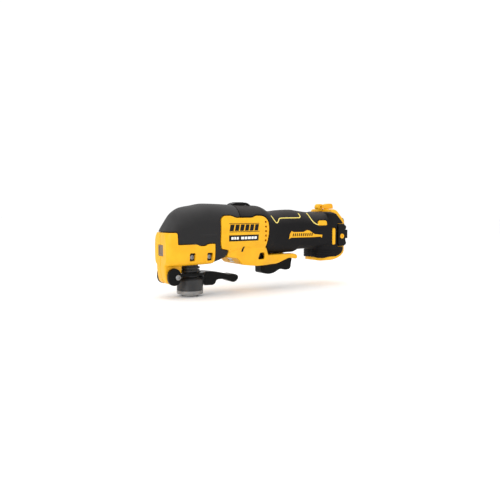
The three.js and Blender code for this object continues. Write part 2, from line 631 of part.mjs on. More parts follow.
function terminalBlock() {
  const body = block(159.5, 163.7, -14.5, 14.5, 62, 92);
  const blades = [-9, -3, 3, 9].map((y) => block(163, 168.6, y - 0.5, y + 0.5, 73.6, 76.4));
  return union(body, ...blades);
}

function ledLens() {
  return plate(Y, LENS, -6, 6);
}

const ledBoard = () => block(60.5, 66, -4.5, 4.5, 45.6, 47);

function lockSlider() {
  const button = plate(Y, [
    [58, 109, 0], [86, 109, 0], [86, 112.9, 1], [80.5, 116.4, 3], [62, 116.4, 3], [58, 113.9, 1],
  ], -7.5, 7.5, { bevel: 1 });
  const ribs = [66, 69, 72, 75].map((x) => block(x - 0.6, x + 0.6, -5.5, 5.5, 115.5, 116.9));
  const stem = block(65, 76, -3.9, 3.9, 104.8, 115);
  return union(cut(button, bodyForm(-GAP)), stem, ...ribs);
}

function hangLoop() {
  const lobes = [
    [202.6, 107.8, 1], [230.6, 107.8, 1], [231, 111, 2], [229.5, 115.4, 3], [220.5, 115.2, 2],
    [215, 112.8, 3], [209, 114.8, 3], [204, 114.6, 3], [202, 111, 2],
  ];
  const top = plate(Y, lobes, -4, 4, { bevel: 1 });
  const heel = block(203.6, 211, -3, 3, 104.4, 109);
  const root = block(218, 225, -1.5, 1.5, 105, 109);
  return cut(union(top, heel, root), rod(Y, 1.8, -20, 20, [208.4, 110.6], 14));
}

// ---- battery pack ---------------------------------------------------------------------------------------------
const cellPlaces = [
  [0, PACK_Z + CELL_PITCH / Math.sqrt(3)],
  [-CELL_PITCH / 2, PACK_Z - CELL_PITCH / (2 * Math.sqrt(3))],
  [CELL_PITCH / 2, PACK_Z - CELL_PITCH / (2 * Math.sqrt(3))],
];
const PACK_SECTION = [
  [-14, 58.2, 3], [14, 58.2, 3], [20, 64, 5], [20, 75, 6],
  [11.5, 95.2, 6], [-11.5, 95.2, 6], [-20, 75, 6], [-20, 64, 5],
];
const CAP_PLAN = [
  [235.3, -20, 0], [239.5, -19.5, 3], [CAP_X, -8, 6], [CAP_X, 8, 6], [239.5, 19.5, 3], [235.3, 20, 0],
];
const CAP_SIDE = [
  [230, 57.2, 0], [243, 57.2, 4], [CAP_X + 1, 62, 4], [CAP_X + 1, 79, 5], [241, 86.5, 5],
  [236.5, 95, 2], [230, 95, 0],
];

function packSleeve() {
  const sleeve = plate(X, PACK_SECTION, 165, 235);
  const room = plate(X, PACK_SECTION, 166.5, 240, { inset: 1 });
  const slots = [-9, -3, 3, 9].map((y) => block(160, 167.5, y - 0.9, y + 0.9, 73, 77));
  return cut(sleeve, room, ...slots);
}

function packCap() {
  const cap = plate(Z, CAP_PLAN, 50, 100).intersect(plate(Y, CAP_SIDE, -SIDE_SPAN, SIDE_SPAN));
  const slots = [-1, 1].map((side) => block(235.9, 238.4, side < 0 ? -30 : 14.5, side < 0 ? -14.5 : 30, 65, 79));
  return cut(cap, ...slots);
}

const batteryCell = ([y, z]) => {
  const can = rod(X, CELL_R, CELL_X, CELL_X + CELL_LENGTH, [y, z], 20);
  const button = rod(X, 3.2, CELL_X - 0.6, CELL_X + 1, [y, z], 12);
  return union(can, button);
};

// Side release button, with a scalloped rear edge and a tongue that reaches into the cap.
const LATCH = [
  [220.6, 60, 3], [222, 55.6, 2.5], [231.4, 55.4, 2.5], [236, 58.6, 2.5], [233.6, 63, 2],
  [233.6, 78.6, 2], [236, 82.4, 2.5], [231.4, 86, 2.5], [222, 85.8, 2.5], [220.6, 81, 3],
];

function latchButton(side) {
  const pad = plate(Y, LATCH, 25.6, 28);
  const neck = block(230, 238, 25.6, 27.2, 66, 78);
  const tongue = block(236.3, 238, 17.5, 27.2, 66, 78);
  const eye = rod(Y, 3.7, 27, 30, EYE, 16);
  const made = cut(union(pad, neck, tongue), eye);
  return side < 0 ? made.mirror([0, 1, 0]) : made;
}

function latchEye(side) {
  const ring = cut(rod(Y, 3.4, 27.3, 28.4, EYE, 16), rod(Y, 1.3, 27.8, 30, EYE, 10));
  return side < 0 ? ring.mirror([0, 1, 0]) : ring;
}

// ---- colours and finishes -----------------------------------------------------------------------------------------
const finish = (color, roughness, metalness = 0) =>
  new THREE.MeshStandardMaterial({ color, roughness, metalness, flatShading: true });
const yellow = finish(0xf5b81c, 0.45);
const black = finish(0x2b2b2e, 0.6);
const rubber = finish(0x1f1f21, 0.85);
const gloss = finish(0x151517, 0.35);
const steel = finish(0xb4b6ba, 0.3, 1);
const darkSteel = finish(0x3a3b3e, 0.4, 1);
const alloy = finish(0x9a9da2, 0.45, 1);
const copper = finish(0xa5622b, 0.4, 1);
const grey = finish(0x77706c, 0.5);
const board = finish(0x1f5a3a, 0.6);
const wrap = finish(0x2f6fb0, 0.5);
const clear = finish(0xdfe6ea, 0.1);

// ---- the assembly -----------------------------------------------------------------------------------------------------
const assembly = new THREE.Group();

function add(name, solid, material) {
  const mesh = new THREE.Mesh(solid.isBufferGeometry ? solid : geometryOf(solid), material);
  mesh.name = name;
  assembly.add(mesh);
}

for (const [side, name] of [[-1, "left"], [1, "right"]]) {
  add(`head_shell_${name}`, headShell(side), yellow);
  add(`housing_${name}`, housing(side), yellow);
  add(`grip_${name}`, grip(side), rubber);
  add(`nameplate_${name}`, sideLabel(NAMEPLATE, side), gloss);
  add(`label_bar_${name}`, sideLabel(LABEL_BAR, side), gloss);
  add(`latch_button_${name}`, latchButton(side), rubber);
  add(`latch_eye_${name}`, latchEye(side), yellow);
}
add("head_boot", headBoot(), black);
add("nose_insert", noseInsert(), grey);
HEAD_SCREWS.forEach(([x, z, length], i) =>
  add(`head_screw_${i + 1}`, screw([x, z], -1, HEAD_SCREW_SEAT, length), steel),
);
add("body_screw_1", screw(LEFT_SCREW, -1, LEFT_SCREW_SEAT, 3.6), darkSteel);
RIGHT_SCREWS.forEach(([x, z, seat], i) =>
  add(`body_screw_${i + 2}`, screw([x, z], 1, seat, 2 * seat - 9), darkSteel),
);
add("clamp_flange", clampFlange(), steel);
add("accessory_holder", accessoryHolder(), gloss);
add("spindle", spindle(), steel);
add("holder_spring", helix(8.2, 0.75, 26.3, 45.1, 4, 4), steel);
add("lower_bearing", ballBearing(Z, 14, SPINDLE_R + 0.2, BEARING_BOTTOM + GAP, 55.4, [0, 0]), steel);
add("upper_bearing", ballBearing(Z, 9, 4.9, UPPER_BEARING_BOTTOM, 101.5, [0, 0]), steel);
add("drive_fork", driveFork(), darkSteel);
add("gear_case", gearCase(), alloy);
add("lever", lever(), gloss);
add("lever_pin", leverPin(), steel);
add("rotor_shaft", rotorShaft(), steel);
add("counterweight", counterweight(), alloy);
add("eccentric_bearing", ballBearing(X, 5, 2.9, 25, 33, [0, MOTOR_Z + ECCENTRIC]), steel);
add("rotor_core", rotorCore(), darkSteel);
add("stator_core", statorCore(), copper);
add("front_motor_bearing", ballBearing(X, 11, 3.7, 39, 45, motorAxis), steel);
add("rear_motor_bearing", ballBearing(X, 8, 3.7, 101, 106, motorAxis), steel);
add("cooling_fan", coolingFan(), gloss);
add("trigger", trigger(), gloss);
add("trigger_pin", triggerPin(), steel);
add("switch_module", switchModule(), black);
add("controller_board", controllerBoard(), board);
add("terminal_block", terminalBlock(), grey);
add("led_lens", ledLens(), clear);
add("led_board", ledBoard(), board);
add("lock_slider", lockSlider(), gloss);
add("hang_loop", hangLoop(), yellow);
add("pack_sleeve", packSleeve(), black);
add("pack_cap", packCap(), black);
cellPlaces.forEach((at, i) => add(`battery_cell_${i + 1}`, batteryCell(at), wrap));

export default assembly;
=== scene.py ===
# %% [markdown]
# # A cordless oscillating multi-tool
# A battery tool as long as a forearm. A soft black skin covers its body, and stiff yellow nylon
# shows at the head, the side panels, the trigger rail and the foot round the battery. The packed
# CAD model is the frame: every piece made here moves with one of its bodies, and most stand in for a node.

# %% Load the frame
import math

import bmesh
import bpy
from mathutils import Matrix, Vector


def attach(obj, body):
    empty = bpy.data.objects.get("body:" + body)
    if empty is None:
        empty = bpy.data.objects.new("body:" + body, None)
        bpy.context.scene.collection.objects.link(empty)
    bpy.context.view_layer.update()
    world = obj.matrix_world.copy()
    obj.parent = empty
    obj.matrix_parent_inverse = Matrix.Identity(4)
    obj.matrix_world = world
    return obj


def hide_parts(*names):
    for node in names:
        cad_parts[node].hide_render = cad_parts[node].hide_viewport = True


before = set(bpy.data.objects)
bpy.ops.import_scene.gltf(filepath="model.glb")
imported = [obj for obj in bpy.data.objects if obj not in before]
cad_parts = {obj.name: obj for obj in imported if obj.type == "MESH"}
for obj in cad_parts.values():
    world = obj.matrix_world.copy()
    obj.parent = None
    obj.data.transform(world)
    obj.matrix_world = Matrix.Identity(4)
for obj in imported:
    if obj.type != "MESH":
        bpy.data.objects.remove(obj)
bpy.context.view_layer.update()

# %% [markdown]
# ## Modelling in millimetres
# The frame is in metres, but a tool like this is drawn in millimetres. Pieces are modelled at 1000
# times their size, which also suits the boolean solver, and are scaled once when they are finished.

# %% From bmesh to object and back
METRES = Matrix.Scale(0.001, 4)


def as_object(bm, name):
    bmesh.ops.remove_doubles(bm, verts=bm.verts, dist=0.0005)
    bmesh.ops.recalc_face_normals(bm, faces=bm.faces)
    mesh = bpy.data.meshes.new(name)
    bm.to_mesh(mesh)
    bm.free()
    made = bpy.data.objects.new(name, mesh)
    bpy.context.scene.collection.objects.link(made)
    return made


def settle(piece):
    """Makes a piece's modifiers part of its mesh."""
    bpy.context.view_layer.update()
    plain = piece.data
    shaped = piece.evaluated_get(bpy.context.evaluated_depsgraph_get())
    piece.data = bpy.data.meshes.new_from_object(shaped)
    piece.modifiers.clear()
    bpy.data.meshes.remove(plain)
    return piece


# %% [markdown]
# Moulded parts are easiest to think of as forms that are joined, cut and overlapped, so one helper
# does all three. The MANIFOLD solver is fast and keeps closed solids closed. The tools are used up.

# %% Join, cut and overlap
def combine(piece, operation, *tools):
    for tool in tools:
        step = piece.modifiers.new(operation, "BOOLEAN")
        step.operation = operation
        step.solver = "MANIFOLD"
        step.object = tool
        settle(piece)
        bpy.data.objects.remove(tool)
    return piece


def join(piece, *tools):
    return combine(piece, "UNION", *tools)


def cut(piece, *tools):
    return combine(piece, "DIFFERENCE", *tools)


def within(piece, *tools):
    return combine(piece, "INTERSECT", *tools)


# %% [markdown]
# ## The basic forms
# Most details are flat outlines seen from one side and pulled through the tool. A slab starts as one
# face, a vertex bevel rounds each corner by its own reach, and an extrusion gives it thickness.

# %% Slabs, blocks and turned parts
def lay(along, u, v, w):
    return {"x": (w, u, v), "y": (u, w, v), "z": (u, v, w)}[along]


def slab(outline, low=-70, high=70, along="y", edge=0, steps=6):
    bm = bmesh.new()
    corners = [bm.verts.new(lay(along, point[0], point[1], low)) for point in outline]
    bm.faces.new(corners)
    for corner, point in zip(corners, outline):
        if len(point) > 2 and point[2] > 0:
            bmesh.ops.bevel(bm, geom=[corner], offset=point[2], offset_type="OFFSET", segments=steps,
                            affect="VERTICES", profile=0.5, material=-1, clamp_overlap=True)
    pulled = bmesh.ops.extrude_face_region(bm, geom=list(bm.faces))["geom"]
    moved = [part for part in pulled if isinstance(part, bmesh.types.BMVert)]
    bmesh.ops.translate(bm, verts=moved, vec=lay(along, 0, 0, high - low))
    if edge > 0:
        axis = "xyz".index(along)
        rims = [e for e in bm.edges if abs(e.verts[0].co[axis] - e.verts[1].co[axis]) < 1e-4]
        bmesh.ops.bevel(bm, geom=rims, offset=edge, offset_type="OFFSET", segments=4,
                        affect="EDGES", profile=0.5, material=-1, clamp_overlap=True)
    return as_object(bm, "slab")


def block(x0, x1, y0, y1, z0, z1):
    bm = bmesh.new()
    bmesh.ops.create_cube(bm, size=1)
    bmesh.ops.scale(bm, vec=(x1 - x0, y1 - y0, z1 - z0), verts=bm.verts)
    bmesh.ops.translate(bm, vec=((x0 + x1) / 2, (y0 + y1) / 2, (z0 + z1) / 2), verts=bm.verts)
    return as_object(bm, "block")


def turned(profile, along="z", centre=(0, 0), steps=64):
    """Spins (radius, height) points, which start and end on the axis."""
    bm = bmesh.new()
    points = [bm.verts.new(lay(along, radius + centre[0], centre[1], height)) for radius, height in profile]
    line = [bm.edges.new(pair) for pair in zip(points, points[1:])]
    axis = Vector(lay(along, 0, 0, 1))
    bmesh.ops.spin(bm, geom=points + line, cent=lay(along, centre[0], centre[1], 0), axis=axis,
                   angle=2 * math.pi, steps=steps, use_merge=True)
    return as_object(bm, "turned")


def rod(along, radius, low, high, centre=(0, 0), steps=32):
    return turned([(0, low), (radius, low), (radius, high), (0, high)], along, centre, steps)


def grown(outline, by):
    """The same outline, offset outwards by a distance."""
    count = len(outline)
    area = sum(outline[i - 1][0] * outline[i][1] - outline[i][0] * outline[i - 1][1] for i in range(count))
    turn = math.copysign(1, area)
    made = []
    for i, corner in enumerate(outline):
        here = Vector(corner[:2])
        before = (here - Vector(outline[i - 1][:2])).normalized()
        after = (Vector(outline[(i + 1) % count][:2]) - here).normalized()
        first = Vector((before.y, -before.x)) * turn
        second = Vector((after.y, -after.x)) * turn
        moved = here + (first + second) * (by / (1 + first.dot(second)))
        made.append((moved.x, moved.y, *corner[2:]))
    return made


# %% [markdown]
# ## Soft edges
# No edge of a moulded part is truly sharp. Where a part comes out of many cuts, a voxel remesh gives
# it one even skin, and a few rounds of smoothing melt the edges. Where a part is a clean slab or a
# turning, a bevel is lighter and crisper.

# %% Two ways to soften a piece
def cast(piece, grain, passes=4):
    skin = piece.modifiers.new("skin", "REMESH")
    skin.mode = "VOXEL"
    skin.voxel_size = grain
    skin.use_smooth_shade = True
    melt = piece.modifiers.new("melt", "SMOOTH")
    melt.factor = 0.5
    melt.iterations = passes
    return settle(piece)


def soften(piece, width, steps=3):
    edge = piece.modifiers.new("edge", "BEVEL")
    edge.width = width
    edge.segments = steps
    edge.limit_method = "ANGLE"
    edge.angle_limit = math.radians(32)
    return settle(piece)


# %% [markdown]
# ## The body form
# The body swells from a thick head to a slim grip and widens again at the battery. It is one loft:
# a circle is pushed into the shape of the first station, extruded ring by ring towards the battery,
# and closed at both ends. Each ring point remembers its own turn, so no ring is twisted.

# %% Stations: x, top, bottom, widest line, half width, squareness above and below
BODY = [
    (-38.5, 79.5, 41.5, 60, 15.5, 3.0, 5), (-35.5, 84.5, 40.5, 60, 19.5, 3.0, 6),
    (-30, 94.5, 40.5, 61, 22, 2.5, 6), (-23, 104.6, 40.5, 64, 23.4, 2.3, 6),
    (-13, 110.3, 40.5, 66, 24, 2.25, 6), (0, 112.5, 40.5, 68, 24.2, 2.5, 6),
    (17, 115, 40.8, 70, 24.8, 2.6, 6), (38, 114.5, 45.5, 75, 27.4, 2.5, 4),
    (50, 113.9, 48.5, 79, 28.7, 2.4, 3), (64, 113.3, 50, 82, 29.2, 2.3, 2.7),
    (95, 112.4, 49.5, 82, 28.6, 2.3, 2.8), (103, 110, 49, 81, 27.4, 2.3, 3),
    (109, 106.6, 48.6, 80, 25.8, 2.3, 3), (116, 105, 48.3, 79, 24.3, 2.3, 3.2),
    (134, 106.4, 48, 78, 22.8, 2.3, 3.2), (152, 107, 48.4, 78, 22.5, 2.3, 3.2),
    (161, 105.9, 52, 77.5, 23.2, 2.3, 3.2), (173, 104.3, 52.2, 77, 24.4, 2.4, 3.2),
    (184, 103.3, 52.2, 76, 25.4, 2.6, 3.4), (212, 104, 52.2, 74, 26.6, 3.0, 4),
]
SKIN = 2.4
WALL = 2.4
PROUD = 0.8
STRIDE = 2.5
AROUND = 112


def blend_slope(before, here, after, column):
    """A slope that never overshoots a station."""
    first = (here[column] - before[column]) / (here[0] - before[0])
    second = (after[column] - here[column]) / (after[0] - here[0])
    return 2 * first * second / (first + second) if first * second > 0 else 0


def station(x):
    last = len(BODY) - 1
    i = max(i for i in range(last) if BODY[i][0] <= x or i == 0)
    a, b = BODY[i], BODY[i + 1]
    width = b[0] - a[0]
    t = (x - a[0]) / width
    row = [x]
    for column in range(1, len(a)):
        rise = b[column] - a[column]
        start = blend_slope(BODY[i - 1], a, b, column) if i > 0 else rise / width
        end = blend_slope(a, b, BODY[i + 2], column) if i + 2 <= last else rise / width
        row.append(a[column] + rise * t * t * (3 - 2 * t)
                   + width * (start * t * (1 - t) ** 2 - end * t * t * (1 - t)))
    return row


# %% [markdown]
# Each ring is a super-ellipse, the round-cornered curve of most moulded grips. Its exponent differs
# above and below the widest line, so the top can be round while the underside stays squarer.

# %% Loft the body
def ring_point(turn, row, inset):
    x, top, bottom, wide, half, upper, lower = row
    out, up = math.cos(turn), math.sin(turn)
    power = 2 / (upper if up > 0 else lower)
    reach = (top - wide if up > 0 else wide - bottom) - inset
    nose = min(1, max(0, x / BODY[0][0]))
    along = min(x + inset * nose, BODY[-1][0] - inset)
    return Vector((along, math.copysign(abs(out) ** power, out) * (half - inset),
                   wide + math.copysign(abs(up) ** power, up) * reach))


def body_form(inset=0):
    bm = bmesh.new()
    turn = bm.verts.layers.float.new("turn")
    ring = bmesh.ops.create_circle(bm, segments=AROUND, radius=1)["verts"]
    for point in ring:
        point[turn] = math.atan2(point.co.y, point.co.x)
    edges = list(bm.edges)
    length = BODY[-1][0] - BODY[0][0]
    count = round(length / STRIDE)
    for step in range(count + 1):
        if step > 0:
            pulled = bmesh.ops.extrude_edge_only(bm, edges=edges)["geom"]
            ring = [part for part in pulled if isinstance(part, bmesh.types.BMVert)]
            edges = [part for part in pulled if isinstance(part, bmesh.types.BMEdge)]
        row = station(BODY[0][0] + length * step / count)
        for point in ring:
            point.co = ring_point(point[turn], row, inset)
    bmesh.ops.holes_fill(bm, edges=bm.edges, sides=0)
    return as_object(bm, "body_form")


def skin_y(x, z):
    """Half width of the body at a height."""
    _, top, bottom, wide, half, upper, lower = station(x)
    reach, power = (top - wide, upper) if z > wide else (wide - bottom, lower)
    return half * (1 - min(1, abs(z - wide) / reach) ** power) ** (1 / power)


print("half width of the head, the waist and the foot:",
      [round(skin_y(x, 76), 1) for x in (0, 134, 210)])

# %% [markdown]
# ## The foot round the battery
# The foot is drawn three times, from the side, the front and above, and is where the three drawings
# meet. The black pads are a little wider than the yellow core, which shows as a rim round them.

# %% Foot pads and foot core
FOOT_PAD = [(190.4, 54, 1), (190.4, 38.8, 4), (221, 38.8, 10), (234.3, 51.5, 5), (234.3, 84.5, 5),
            (214.5, 103.8, 6), (205, 103.8, 2), (202, 80, 4), (199, 62, 6)]
FOOT_CORE = [(192, 54, 1), (192, 34.8, 4), (222.5, 34.8, 12), (238.6, 49.8, 6), (238.6, 86.5, 6),
             (219, 107.4, 3), (212, 107.4, 1), (209, 80, 3), (203, 60, 4)]
PAD_FRONT = 190.4
CORE_FRONT = 192.8


def foot(side_view, half, low, high, front_x, rear, inset):
    front = [(-half, low, 7), (half, low, 7), (half, high, 5), (-half, high, 5)]
    plan = [(front_x, -half, half - 6), (rear, -half, 7), (rear, half, 7), (front_x, half, half - 6)]
    return within(slab(grown(side_view, -inset)), slab(grown(front, -inset), 150, 260, "x"),
                  slab(grown(plan, -inset), 20, 130, "z"))


def foot_pads(inset=0):
    return foot(FOOT_PAD, 26.6, 38.8, 103.8, PAD_FRONT, 234.3, inset)


def foot_core(inset=0):
    return foot(FOOT_CORE, 24, 34.8, 107.4, CORE_FRONT, 238.6, inset)


# %% [markdown]
# ## Outlines of the yellow parts
# These are side views, in x and z, with the reach of each corner's rounding. They repeat the CAD's
# outlines, so the visual pieces land exactly where the solids are.

# %% Side views
SEAM_X = 58
HEAD_SIDE = [(-50, 30), (22.4, 30), (22.4, 65.8, 1.5), (13, 65.6, 2), (10, 63.4, 2), (2, 63.4, 2),
             (-1.5, 65.6, 2), (-26.8, 65.6, 1.5), (-26.8, 80, 1.5), (-50, 80)]
PANEL = [(30, 64, 6), (31.5, 59, 4), (41.5, 57.2, 2), (40, 44), (96, 40), (97.5, 62, 12),
         (101.4, 80, 14), (99.5, 98.6, 9), (82, 99.6, 3), (77, 97, 3), (51, 97, 3), (46, 99.8, 3),
         (31.5, 99.6, 7)]
CHIN = [(40.5, 52), (41, 48, 2), (55.5, 46, 3), (63, 37, 3), (84, 34.5, 3), (121, 35.4, 5),
        (133, 40, 6), (141, 42.3, 4), (148, 41, 3), (154.8, 39.4, 4), (154.6, 45, 4), (150, 47.7, 4),
        (104, 47.7), (100, 58), (45, 58)]
CHIN_PLAN = [(30, -24.3), (97, -24.3, 6), (113, -20, 6), (170, -19), (170, 19), (113, 20, 6),
             (97, 24.3, 6), (30, 24.3)]
BAR = [(210.6, 57.5, 2), (215.8, 57.5, 2), (215.8, 81, 2), (210.6, 81, 2)]
TAB = [(185, 85, 2.5), (201.4, 85, 2), (201.4, 91.8, 2.5), (187.6, 91.8, 2.5)]
LATCH_NOTCH = [(219.8, 54.4, 3), (260, 54.4), (260, 87), (219.8, 87, 3)]
TRIGGER_WELL = [(100.8, 20), (152.6, 20), (153, 40), (153, 49), (140, 49), (128, 47), (118, 50), (100.8, 50)]
PACK_SECTION = [(-14, 58.2, 3), (14, 58.2, 3), (20, 64, 5), (20, 75, 6), (11.5, 95.2, 6),
                (-11.5, 95.2, 6), (-20, 75, 6), (-20, 64, 5)]
LENS = [(57, 45), (62.4, 38.4), (64.2, 39.8), (58.8, 46.4)]
POCKET = [(86.4, 42.8, 1), (89.9, 51.7, 1.5), (97.3, 51.3, 1.5), (96.9, 43.2, 1)]
GAP = 0.3


def chin_form(grow=0):
    side_view = slab(grown(CHIN, grow), -24.3 - grow, 24.3 + grow)
    made = within(side_view, slab(grown(CHIN_PLAN, grow), 20, 80, "z"))
    return made if grow < 0 else soften(made, 2.5)


def trigger_well():
    return join(slab(TRIGGER_WELL, -10.6, 10.6), block(104, 116, -4, 4, 48, 60))


def side_half(side):
    low, high = (-80, -GAP / 2) if side < 0 else (GAP / 2, 80)
    return block(-60, 300, low, high, -60, 160)


# %% [markdown]
# ## Shader maths as plain expressions
# A finish is a small network of nodes. Wrapping each socket in a class lets sums be written as sums:
# an expression such as 1 - dust * 0.4 adds its Math nodes by itself.

# %% A socket that can be added and multiplied
class Value:
    def __init__(self, tree, socket):
        self.tree = tree
        self.socket = socket

    def math(self, operation, first, second):
        made = self.tree.nodes.new("ShaderNodeMath")
        made.operation = operation
        plug(self.tree, made.inputs[0], first)
        plug(self.tree, made.inputs[1], second)
        return Value(self.tree, made.outputs[0])

    def __add__(self, other):
        return self.math("ADD", self, other)

    def __sub__(self, other):
        return self.math("SUBTRACT", self, other)

    def __rsub__(self, other):
        return self.math("SUBTRACT", other, self)

    def __mul__(self, other):
        return self.math("MULTIPLY", self, other)

    __radd__ = __add__
    __rmul__ = __mul__


def plug(tree, socket, value):
    if isinstance(value, Value):
        tree.links.new(value.socket, socket)
    else:
        socket.default_value = value


# %% [markdown]
# A finish starts from Blender's standard shader. Its constants go straight on the sockets, and the
# pattern of a worn surface, and on the rubber painted top light, goes into colour, roughness and a slight relief.

# %% One method adds any other node
class Finish:
    def __init__(self, name, **constants):
        self.material = bpy.data.materials.new(name)
        self.material.use_nodes = True
        self.tree = self.material.node_tree
        self.shader = self.tree.nodes["Principled BSDF"]
        self.place = self.node("TexCoord", output="Object")
        for socket, value in constants.items():
            self.shader.inputs[socket.replace("_", " ")].default_value = value

    def node(self, kind, settings=None, inputs=None, output=0):
        made = self.tree.nodes.new("ShaderNode" + kind)
        for name, value in (settings or {}).items():
            if name == "stops":
                made.color_ramp.elements[0].position = value[0]
                made.color_ramp.elements[1].position = value[1]
            else:
                setattr(made, name, value)
        for name, value in (inputs or {}).items():
            plug(self.tree, made.inputs[name], value)
        return Value(self.tree, made.outputs[output])

    def noise(self, size_mm, detail=2, place=None):
        inputs = {"Vector": place or self.place, "Scale": 1000 / size_mm, "Detail": detail}
        return self.node("TexNoise", {}, inputs)

    def stretched(self, x, y, z):
        return self.node("Mapping", {}, {"Vector": self.place, "Scale": (x, y, z)})

    def patches(self, value, low, high):
        return self.node("ValToRGB", {"stops": (low, high)}, {"Fac": value})

    def mix(self, factor, first, second):
        return self.node("Mix", {"data_type": "RGBA"}, {0: factor, 6: (*first, 1), 7: (*second, 1)}, 2)

    def apply_surface(self, color=None, roughness=None, relief=None, depth_mm=0.02):
        if color:
            plug(self.tree, self.shader.inputs["Base Color"], color)
        if roughness:
            plug(self.tree, self.shader.inputs["Roughness"], roughness)
        if relief:
            bump = self.node("Bump", {}, {"Height": relief, "Distance": depth_mm / 1000, "Strength": 1.0})
            plug(self.tree, self.shader.inputs["Normal"], bump)
        return self.material


# %% [markdown]
# ## Moulded plastics
# Glass-filled nylon has a satin, spark-eroded texture about a third of a millimetre across and very
# slight clouding. The overmoulded rubber is rougher and nearly black, with painted light on upward faces.

# %% Yellow nylon
FINISH = {}


def moulded(name, deep, light, grain_mm, rough, depth_mm, **constants):
    made = Finish(name, **constants)
    cloud = made.noise(14, 3)
    grain = made.noise(grain_mm, 2)
    return made.apply_surface(made.mix(made.patches(cloud, 0.35, 0.65), deep, light),
                     rough + 0.12 * (grain - 0.5) + 0.08 * (cloud - 0.5), grain, depth_mm)


FINISH["yellow_nylon"] = moulded("yellow_nylon", (0.82, 0.4, 0.004), (0.89, 0.45, 0.007), 0.35, 0.42, 0.02,
                                 Specular_IOR_Level=0.3)
FINISH["pale_piping"] = moulded("pale_piping", (0.86, 0.68, 0.14), (0.93, 0.76, 0.2), 0.35, 0.5, 0.02)
FINISH["insert_grey"] = moulded("insert_grey", (0.15, 0.1, 0.075), (0.19, 0.13, 0.1), 0.3, 0.45, 0.02)
FINISH["black_nylon"] = moulded("black_nylon", (0.006, 0.006, 0.006), (0.011, 0.011, 0.012), 0.3, 0.5, 0.02,
                                Specular_IOR_Level=0.15)
print("plastics:", sorted(FINISH))


# %% [markdown]
# The rubber skins are moulded over the nylon with a fine dimpled grain. The faces that look up are
# coloured a little paler by the height of the surface normal, which is painted top light.

# %% Soft skins
def rubber(name, deep, light, rough):
    made = Finish(name, Specular_IOR_Level=0.13)
    cloud = made.noise(22, 4)
    dimples = made.node("TexVoronoi", {"feature": "SMOOTH_F1"}, {"Vector": made.place, "Scale": 1800})
    grain = made.noise(0.4, 3)
    normal = made.node("NewGeometry", output="Normal")
    painted_top_light = made.node("SeparateXYZ", {}, {"Vector": normal}, "Z")
    # The pale colour on upward faces is painted top light, mixed with random clouding and grain.
    painted_light_and_cloud = made.patches(0.75 * painted_top_light + 0.3 * (cloud - 0.5) + 0.1 * (grain - 0.5), 0.15, 0.95)
    return made.apply_surface(made.mix(painted_light_and_cloud, deep, light), rough + 0.16 * (grain - 0.5), dimples + grain * 0.6, 0.05)


# The second colour of each rubber is the painted top light on its upward faces.
FINISH["grip_rubber"] = rubber("grip_rubber", (0.006, 0.0055, 0.006), (0.055, 0.049, 0.047), 0.6)
FINISH["boot_rubber"] = rubber("boot_rubber", (0.02, 0.0195, 0.02), (0.07, 0.068, 0.068), 0.56)

# %% [markdown]
# Handles and levers are smooth black nylon that fingers polish, with long faint rub marks. The
# printed labels are black film with a clear coat.

# %% Polished black and printed film
glossy = Finish("gloss_black", Specular_IOR_Level=0.08)
rubs = glossy.noise(1.2, 3, glossy.stretched(0.08, 1, 1))
FINISH["gloss_black"] = glossy.apply_surface(glossy.mix(rubs, (0.003, 0.003, 0.003), (0.007, 0.007, 0.007)),
                                    0.22 + 0.15 * rubs, glossy.noise(0.8, 2), 0.008)
FINISH["satin_black"] = moulded("satin_black", (0.022, 0.022, 0.023), (0.034, 0.034, 0.035), 0.5, 0.4, 0.015,
                                Specular_IOR_Level=0.3)
film = Finish("label_black", Specular_IOR_Level=0.15)
ripple = film.noise(3, 2)
FINISH["label_black"] = film.apply_surface(film.mix(ripple, (0.004, 0.004, 0.004), (0.01, 0.009, 0.008)),
                                  0.3 + 0.1 * ripple, ripple, 0.01)
print_ink = Finish("print_white")
speckle = print_ink.noise(0.6, 2)
FINISH["print_white"] = print_ink.apply_surface(print_ink.mix(speckle, (0.8, 0.8, 0.77), (0.95, 0.95, 0.93)),
                                       0.4 + 0.1 * speckle)

# %% [markdown]
# ## Metals
# Turned steel shows fine rings round its axis, ground steel fine lines, and a casting small lumps.
# Noise stretched along one axis gives lines; noise in even proportions gives lumps.

# %% Steels and castings
def metal(name, deep, light, rough, stretch, size_mm, depth_mm=0.01):
    made = Finish(name, Metallic=1.0)
    lines = made.noise(size_mm, 3, made.stretched(*stretch))
    stain = made.noise(9, 3)
    return made.apply_surface(made.mix(0.6 * lines + 0.4 * stain, deep, light),
                     rough + 0.2 * (lines - 0.5), lines, depth_mm)


FINISH["bright_steel"] = metal("bright_steel", (0.17, 0.17, 0.17), (0.36, 0.355, 0.35), 0.34,
                               (0.15, 0.15, 3), 0.7)
FINISH["dark_steel"] = metal("dark_steel", (0.03, 0.03, 0.032), (0.09, 0.09, 0.095), 0.4, (1, 1, 1), 0.9)
FINISH["ground_steel"] = metal("ground_steel", (0.42, 0.42, 0.44), (0.66, 0.66, 0.68), 0.26, (0.1, 2, 2), 0.6)
FINISH["cast_alloy"] = metal("cast_alloy", (0.32, 0.33, 0.34), (0.52, 0.53, 0.55), 0.5, (1, 1, 1), 1.1, 0.05)
FINISH["windings"] = metal("windings", (0.28, 0.09, 0.03), (0.66, 0.26, 0.1), 0.36, (0.05, 4, 4), 0.8, 0.06)
FINISH["cell_steel"] = moulded("cell_steel", (0.02, 0.09, 0.3), (0.03, 0.13, 0.4), 4, 0.32, 0.02)
FINISH["circuit_board"] = moulded("circuit_board", (0.006, 0.07, 0.025), (0.012, 0.13, 0.05), 1.5, 0.4, 0.02)
FINISH["clear_lens"] = moulded("clear_lens", (0.5, 0.46, 0.38), (0.6, 0.56, 0.48), 2, 0.12, 0.01,
                               Coat_Weight=0.6)
print(len(FINISH), "finishes")
